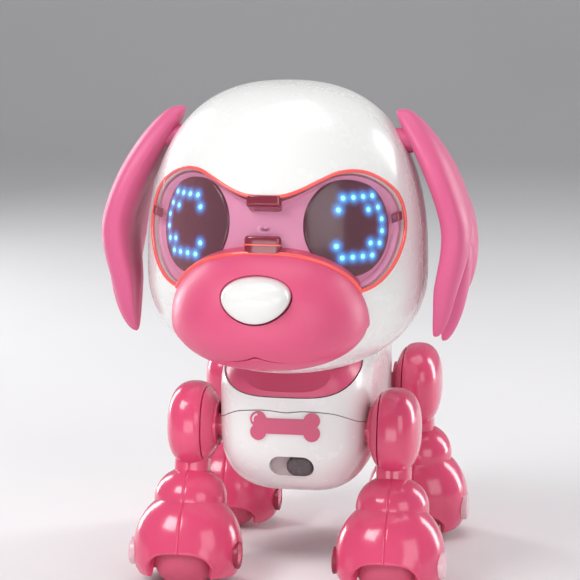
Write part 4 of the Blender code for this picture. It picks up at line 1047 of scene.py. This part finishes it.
def seam_columns(count):
    """Angles round a form that crowd together where the middle seam crosses it, at 90 and 270 degrees."""
    close = np.radians([0.0, 0.55, 1.1, 2.2, 4.0])
    even = np.linspace(np.radians(7), np.pi - np.radians(7), count // 2)
    half = np.concatenate([close, even, np.pi - close[::-1][:-1]])
    return np.concatenate([half, half + np.pi]) - np.pi / 2


def grooved(x, depth=GROOVE, width=0.00016):
    """How deep the seam's groove is at a distance x from the middle plane: d exp(-(x/w)^2)."""
    return depth * np.exp(-(x / width) ** 2)


def axis_dome(side, start, end, half, power, rows=60, columns=96):
    """A form about the X axis between two of its planes: |x/a|^n + |y/b|^n + |z/c|^n = 1.

    A plane that stops short of the form's end closes it with a rounded lip and a flat disc.
    """
    angle = np.linspace(0, 2 * np.pi, columns, endpoint=False)
    plan = squareness(angle, power)
    turn = np.linspace(-np.pi / 2, np.pi / 2, 400)
    scale = squareness(turn, power)
    x_line = np.sin(turn) * scale * half[0]
    r_line = np.cos(turn) * scale
    keep = (x_line >= start) & (x_line <= end)
    x = x_line[keep]
    r = r_line[keep]
    pick = np.unique(np.linspace(0, len(x) - 1, rows).astype(int))
    x, r = x[pick], r[pick]
    lip = 0.00022
    if start > -half[0]:
        x = np.concatenate([[start, start, start + lip * 0.3], x[1:]])
        r = np.concatenate([[0, r[0] - lip / half[1], r[0] - lip * 0.3 / half[1]], r[1:]])
    if end < half[0]:
        x = np.concatenate([x[:-1], [end - lip * 0.3, end, end]])
        r = np.concatenate([r[:-1], [r[-1] - lip * 0.3 / half[1], r[-1] - lip / half[1], 0]])
    return np.stack([
        np.repeat(x[:, None], columns, axis=1) * side,
        r[:, None] * (np.cos(angle) * plan * half[1])[None],
        r[:, None] * (np.sin(angle) * plan * half[2])[None],
    ], axis=-1)


def upright_form(centre, half, power, below, rows=70, columns=120):
    """A form about the Z axis with the middle seam cut into it, as local points."""
    part = np.linspace(np.pi / 2, -np.pi / 2, rows)[:, None]
    angle = seam_columns(columns)[None]
    up = squareness(part, power)
    plan = squareness(angle, power)
    tall = np.where(np.sin(part) > 0, half[2], below)
    x = half[0] * np.cos(part) * up * np.cos(angle) * plan
    shrink = 1 - grooved(x) / half[1]
    y = half[1] * np.cos(part) * up * np.sin(angle) * plan * shrink
    z = tall * np.sin(part) * up * shrink
    return np.stack([x, y, z + 0 * angle], axis=-1) + centre


def paw_cover():
    """The paw: a dome whose skirt stops at the sole, raised into an arch over the roller in front.

    The skirt's height is sole + rise (1 - |x/w|^3.2)^(1/2.2) ahead of the roller's axis. Its edge
    rolls outwards a little, turns under, and the wall comes back up inside.
    """
    angle = seam_columns(150)
    power = 2.2
    plan = squareness(angle, power)
    below = 0.0100
    sole = -PAW_SKIRT
    edge_part = np.full(len(angle), sole)
    for _ in range(12):
        ring = np.where(edge_part < 0, below, PAW_HALF[2])
        wide = (1 - np.minimum(np.abs(edge_part) / ring, 0.999) ** power) ** (1 / power)
        x = PAW_HALF[0] * wide * np.cos(angle) * plan
        ahead = np.clip(-np.sin(angle) * 3.0, 0, 1)
        arch = np.maximum(1 - (np.abs(x) / ARCH_HALF) ** 3.2, 0) ** (1 / 2.2)
        edge_part = sole + (ARCH_RISE - sole) * arch * ahead
    rows = []
    for part in np.linspace(0, 1, 64):
        top_turn = np.pi / 2
        ratio = np.clip(edge_part / np.where(edge_part < 0, below, PAW_HALF[2]), -0.999, 0.999)
        filled = np.abs(ratio) ** power
        low_turn = np.arctan(np.sign(ratio) * (filled / (1 - filled)) ** (1 / power))
        turn = top_turn + (low_turn - top_turn) * part
        size = squareness(turn, power)
        tall = np.where(turn > 0, PAW_HALF[2], below)
        wide = np.cos(turn) * size
        x = PAW_HALF[0] * wide * np.cos(angle) * plan
        shrink = 1 - grooved(x) / PAW_HALF[1]
        roll = 1 + 0.022 * np.exp(-((1 - part) * 16) ** 2)
        y = PAW_HALF[1] * wide * np.sin(angle) * plan * shrink * roll
        z = np.sin(turn) * size * tall * shrink
        rows.append(np.stack([x * np.minimum(roll, 1.0), y, z], axis=-1))
    edge = rows[-1]
    for inward, lift in PAW_HEM:
        reach = np.hypot(edge[:, 0], edge[:, 1])
        scale = (1 - inward / reach)[:, None]
        rows.append(np.concatenate([edge[:, :2] * scale, edge[:, 2:] + lift], axis=1))
    last = rows[-1]
    for part in (0.7, 0.35, 0.0):
        rows.append(np.concatenate([last[:, :2] * part, last[:, 2:] * part + 0.0110 * (1 - part)], axis=1))
    return np.stack(rows) + PAW


def lathe(profile, columns=72):
    """A profile of (x, radius) points turned about the X axis."""
    turn = np.linspace(0, 2 * np.pi, columns, endpoint=False)
    return np.stack([
        np.stack([np.full(columns, x), r * np.cos(turn), r * np.sin(turn)], axis=-1) for x, r in profile
    ])


def place_leg(grid, side, hip, tilt):
    """Mirrors a local grid for its side, tilts it about the hip and carries it there."""
    x = grid[..., 0] * side + side * LEG_X
    y = hip[1] + grid[..., 1] * math.cos(tilt) - grid[..., 2] * math.sin(tilt)
    z = hip[2] + grid[..., 1] * math.sin(tilt) + grid[..., 2] * math.cos(tilt)
    return np.stack([x, y, z], axis=-1)


leg_pink = moulded("leg_pink_plastic", LEG_PINK, 0.22, blotch=0.05, blotch_scale=50, coat=0.45, bleed=0.08)
# Painted shade: the dark pink of the recess on each paw's inner side stands for shade in that hollow.
recess_painted_shade = moulded("recess_dark_pink", RECESS_SHADE_PINK, 0.40, blotch=0.10)
roller_pink = moulded("roller_matt_pink", ROLLER_PINK, 0.62, blotch=0.10, blotch_scale=220, peel=0.25,
                      grain_scale=1600)
cap_pale = moulded("cap_pale_plastic", CAP_PALE, 0.30, blotch=0.03, coat=0.3)
roller_turn = np.linspace(-np.pi / 2, np.pi / 2, 36)
roller_size = squareness(roller_turn, 2.4)
roller_profile = np.stack([
    np.sin(roller_turn) * roller_size * ROLLER_HALF, np.cos(roller_turn) * roller_size * ROLLER_RADIUS,
], axis=-1)
cap_profile = [(0.0124, 0.0), (0.0124, 0.0034), (0.0134, 0.0035), (0.0139, 0.0033)]
cap_profile += [(0.0141, 0.0028), (0.01412, 0.0)]
recess_profile = [(-0.0122, 0.0), (-0.0122, 0.0032), (-0.0136, 0.0034), (-0.0138, 0.0031)]
recess_profile += [(-0.0134, 0.0027), (-0.0133, 0.0)]
hub_profile = [(-0.0125, 0.0), (-0.0125, 0.0029), (-0.0064, 0.0029), (-0.0064, 0.0057)]
hub_profile += [(-0.0056, 0.0058), (-0.0054, 0.0)]
for end_name in ("front", "rear"):
    for side_name, side in (("right", -1), ("left", 1)):
        leg = f"{end_name}_{side_name}"
        hip = np.array(joints[leg + "_hip"]["pos_m"])
        tilt = math.radians(-LEG_TILT if end_name == "front" else LEG_TILT)
        outer = axis_dome(1, THIGH_SPLIT + 0.00012, 1.0, THIGH_HALF, 2.5)
        thigh_out = mesh_of(leg + "_thigh_cover", place_leg(outer, side, hip, tilt))
        finish(thigh_out, leg + "_thigh", leg_pink, [leg + "_thigh_outer"], sharp=50)
        inner = axis_dome(1, -0.0060, THIGH_SPLIT - 0.00012, THIGH_HALF, 2.5, rows=30)
        thigh_in = mesh_of(leg + "_thigh_back", place_leg(inner, side, hip, tilt))
        finish(thigh_in, leg + "_thigh", leg_pink, [leg + "_thigh_inner"], sharp=50)
        hub = mesh_of(leg + "_hip_hub", place_leg(lathe(hub_profile), side, hip, tilt))
        finish(hub, leg + "_thigh", leg_pink, sharp=40)

        tongue = upright_form(TONGUE, TONGUE_HALF, 3.0, TONGUE_HALF[2], rows=50)
        tongue_piece = mesh_of(leg + "_knee_tongue", place_leg(tongue, side, hip, tilt))
        finish(tongue_piece, leg + "_shin", leg_pink)
        ball = upright_form(BALL, BALL_HALF, 2.1, BALL_HALF[2])
        ball_piece = mesh_of(leg + "_ankle", place_leg(ball, side, hip, tilt))
        finish(ball_piece, leg + "_shin", leg_pink)
        paw = mesh_of(leg + "_paw_cover", place_leg(paw_cover(), side, hip, tilt))
        shin_nodes = [leg + "_shin_outer", leg + "_shin_inner"]
        finish(paw, leg + "_shin", leg_pink, shin_nodes, sharp=60)
        roller = mesh_of(leg + "_roller", place_leg(lathe(roller_profile) + ROLLER, side, hip, tilt))
        finish(roller, leg + "_wheel", roller_pink, [leg + "_paw_wheel"])
        cap = mesh_of(leg + "_axle_cap", place_leg(lathe(cap_profile) + ROLLER, side, hip, tilt))
        finish(cap, leg + "_shin", cap_pale, [leg + "_paw_cap"], sharp=40)
        # The inner side's recess is a thin dark disc, its colour painted shade.
        recess = mesh_of(leg + "_axle_recess", place_leg(lathe(recess_profile) + ROLLER, side, hip, tilt))
        finish(recess, leg + "_shin", recess_painted_shade, sharp=40)


# What stays as the frame drew it ---------------------------------------------------------------
# Electronics, battery parts, screws and the neck post are real parts that mostly hide inside. They
# keep the frame's shapes and take finishes of their own.
def metal(name, colour, roughness):
    """Plated steel: fine brushed streaks in the roughness, and a faint stain in the colour."""
    material = moulded(name, colour, roughness, blotch=0.10, blotch_scale=300, peel=0.05, grain_scale=3000)
    material.node_tree.nodes["Principled BSDF"].inputs["Metallic"].default_value = 1.0
    return material


plated = metal("plated_steel", (0.62, 0.61, 0.58), 0.30)
board_green = moulded("board_green_lacquer", (0.02, 0.15, 0.06), 0.35, blotch=0.30, blotch_scale=500,
                      coat=0.5)
black_plastic = moulded("inner_black_plastic", (0.018, 0.018, 0.020), 0.45, blotch=0.15, peel=0.08)
kept = {"neck_post": collar_pink, "battery_cover": body_white}
for node_name in ("head_board", "main_board"):
    kept[node_name] = board_green
for node_name in ("nose_switch", "speaker", "battery_holder"):
    kept[node_name] = black_plastic
for node_name in ("microphone", "slide_switch", "cover_screw", "left_ear_screw", "right_ear_screw",
                  "battery_cell_1", "battery_cell_2", "battery_cell_3",
                  "left_battery_contact", "right_battery_contact"):
    kept[node_name] = plated
for node_name, material in kept.items():
    for slot_holder in frame["nodes"][node_name].material_slots:
        slot_holder.material = material


# Studio ----------------------------------------------------------------------------------------
# A pale floor that curves up behind, one broad key lamp high on the dog's right, a weaker fill, a lamp
# overhead, a low strip in front, and two strips behind that draw bright edges on the legs and ears.
def floor_sheet():
    """A floor that turns up into a wall: flat, a quarter circle, then upright."""
    flat = np.linspace(-1.2, 0.9, 8)
    bend = np.radians(np.linspace(0, 90, 16))
    y = np.concatenate([flat, 0.9 + 0.5 * np.sin(bend), [1.4]])
    z = np.concatenate([np.zeros(8), 0.5 * (1 - np.cos(bend)), [2.4]])
    x = np.linspace(-2.5, 2.5, 6)
    return np.stack([x[None] + 0 * y[:, None], y[:, None] + 0 * x[None], z[:, None] + 0 * x[None]], axis=-1)


floor = mesh_of("studio_floor", floor_sheet(), around=False)
floor.data.flip_normals()
floor_finish = moulded("studio_paper", (0.80, 0.79, 0.80), 0.75, blotch=0.01, blotch_scale=3, grain_scale=400)
floor.data.materials.append(floor_finish)


def soft_lamp(name, place, target, size, power, tall=None):
    """A rectangular soft lamp that points at a target."""
    light = bpy.data.lights.new(name, "AREA")
    light.shape = "RECTANGLE"
    light.size = size
    light.size_y = tall or size
    light.energy = power
    lamp = bpy.data.objects.new(name, light)
    lamp.location = place
    aim = np.array(target) - np.array(place)
    lamp.rotation_euler = Vector(aim.tolist()).to_track_quat("-Z", "Y").to_euler()
    bpy.context.scene.collection.objects.link(lamp)


HEART = (0.0, 0.0, 0.065)
soft_lamp("key", (-0.38, -0.52, 0.62), HEART, 0.34, 3.9)
soft_lamp("fill", (0.55, -0.60, 0.30), HEART, 0.45, 1.5)
soft_lamp("top", (0.05, 0.05, 0.80), HEART, 0.50, 1.6)
soft_lamp("edge_left", (-0.50, 0.38, 0.22), HEART, 0.16, 2.2, tall=0.5)
soft_lamp("edge_right", (0.50, 0.38, 0.22), HEART, 0.16, 2.2, tall=0.5)
soft_lamp("low_front", (0.0, -0.60, 0.06), HEART, 0.40, 0.5, tall=0.12)

world = bpy.data.worlds.new("studio")
world.use_nodes = True
world.node_tree.nodes["Background"].inputs["Color"].default_value = (0.92, 0.92, 0.95, 1)
world.node_tree.nodes["Background"].inputs["Strength"].default_value = 0.24
bpy.context.scene.world = world
bpy.context.scene.view_settings.view_transform = "Standard"

# Camera: a little above the muzzle, turned slightly towards the dog's left.
CAMERA_ANGLE = math.radians(10.0)
CAMERA_RISE = math.radians(9.8)
CAMERA_DISTANCE = 0.590
CAMERA_SENSOR = 36.0
CAMERA_LENS = 142.0883
AIM_HEIGHT = 0.0695
AIM_ASIDE = 0.0052
camera_back = np.array([
    math.sin(CAMERA_ANGLE) * math.cos(CAMERA_RISE), -math.cos(CAMERA_ANGLE) * math.cos(CAMERA_RISE),
    math.sin(CAMERA_RISE),
])
camera_right = np.array([math.cos(CAMERA_ANGLE), math.sin(CAMERA_ANGLE), 0.0])
aim_point = DOG + (0, 0, AIM_HEIGHT) - AIM_ASIDE * camera_right
camera = bpy.data.objects.new("camera", bpy.data.cameras.new("camera"))
camera.location = aim_point + CAMERA_DISTANCE * camera_back
camera.rotation_euler = Vector((-camera_back).tolist()).to_track_quat("-Z", "Y").to_euler()
camera.data.sensor_width = CAMERA_SENSOR
camera.data.lens = CAMERA_LENS
camera.data.clip_start = 0.01
bpy.context.scene.collection.objects.link(camera)
bpy.context.scene.camera = camera
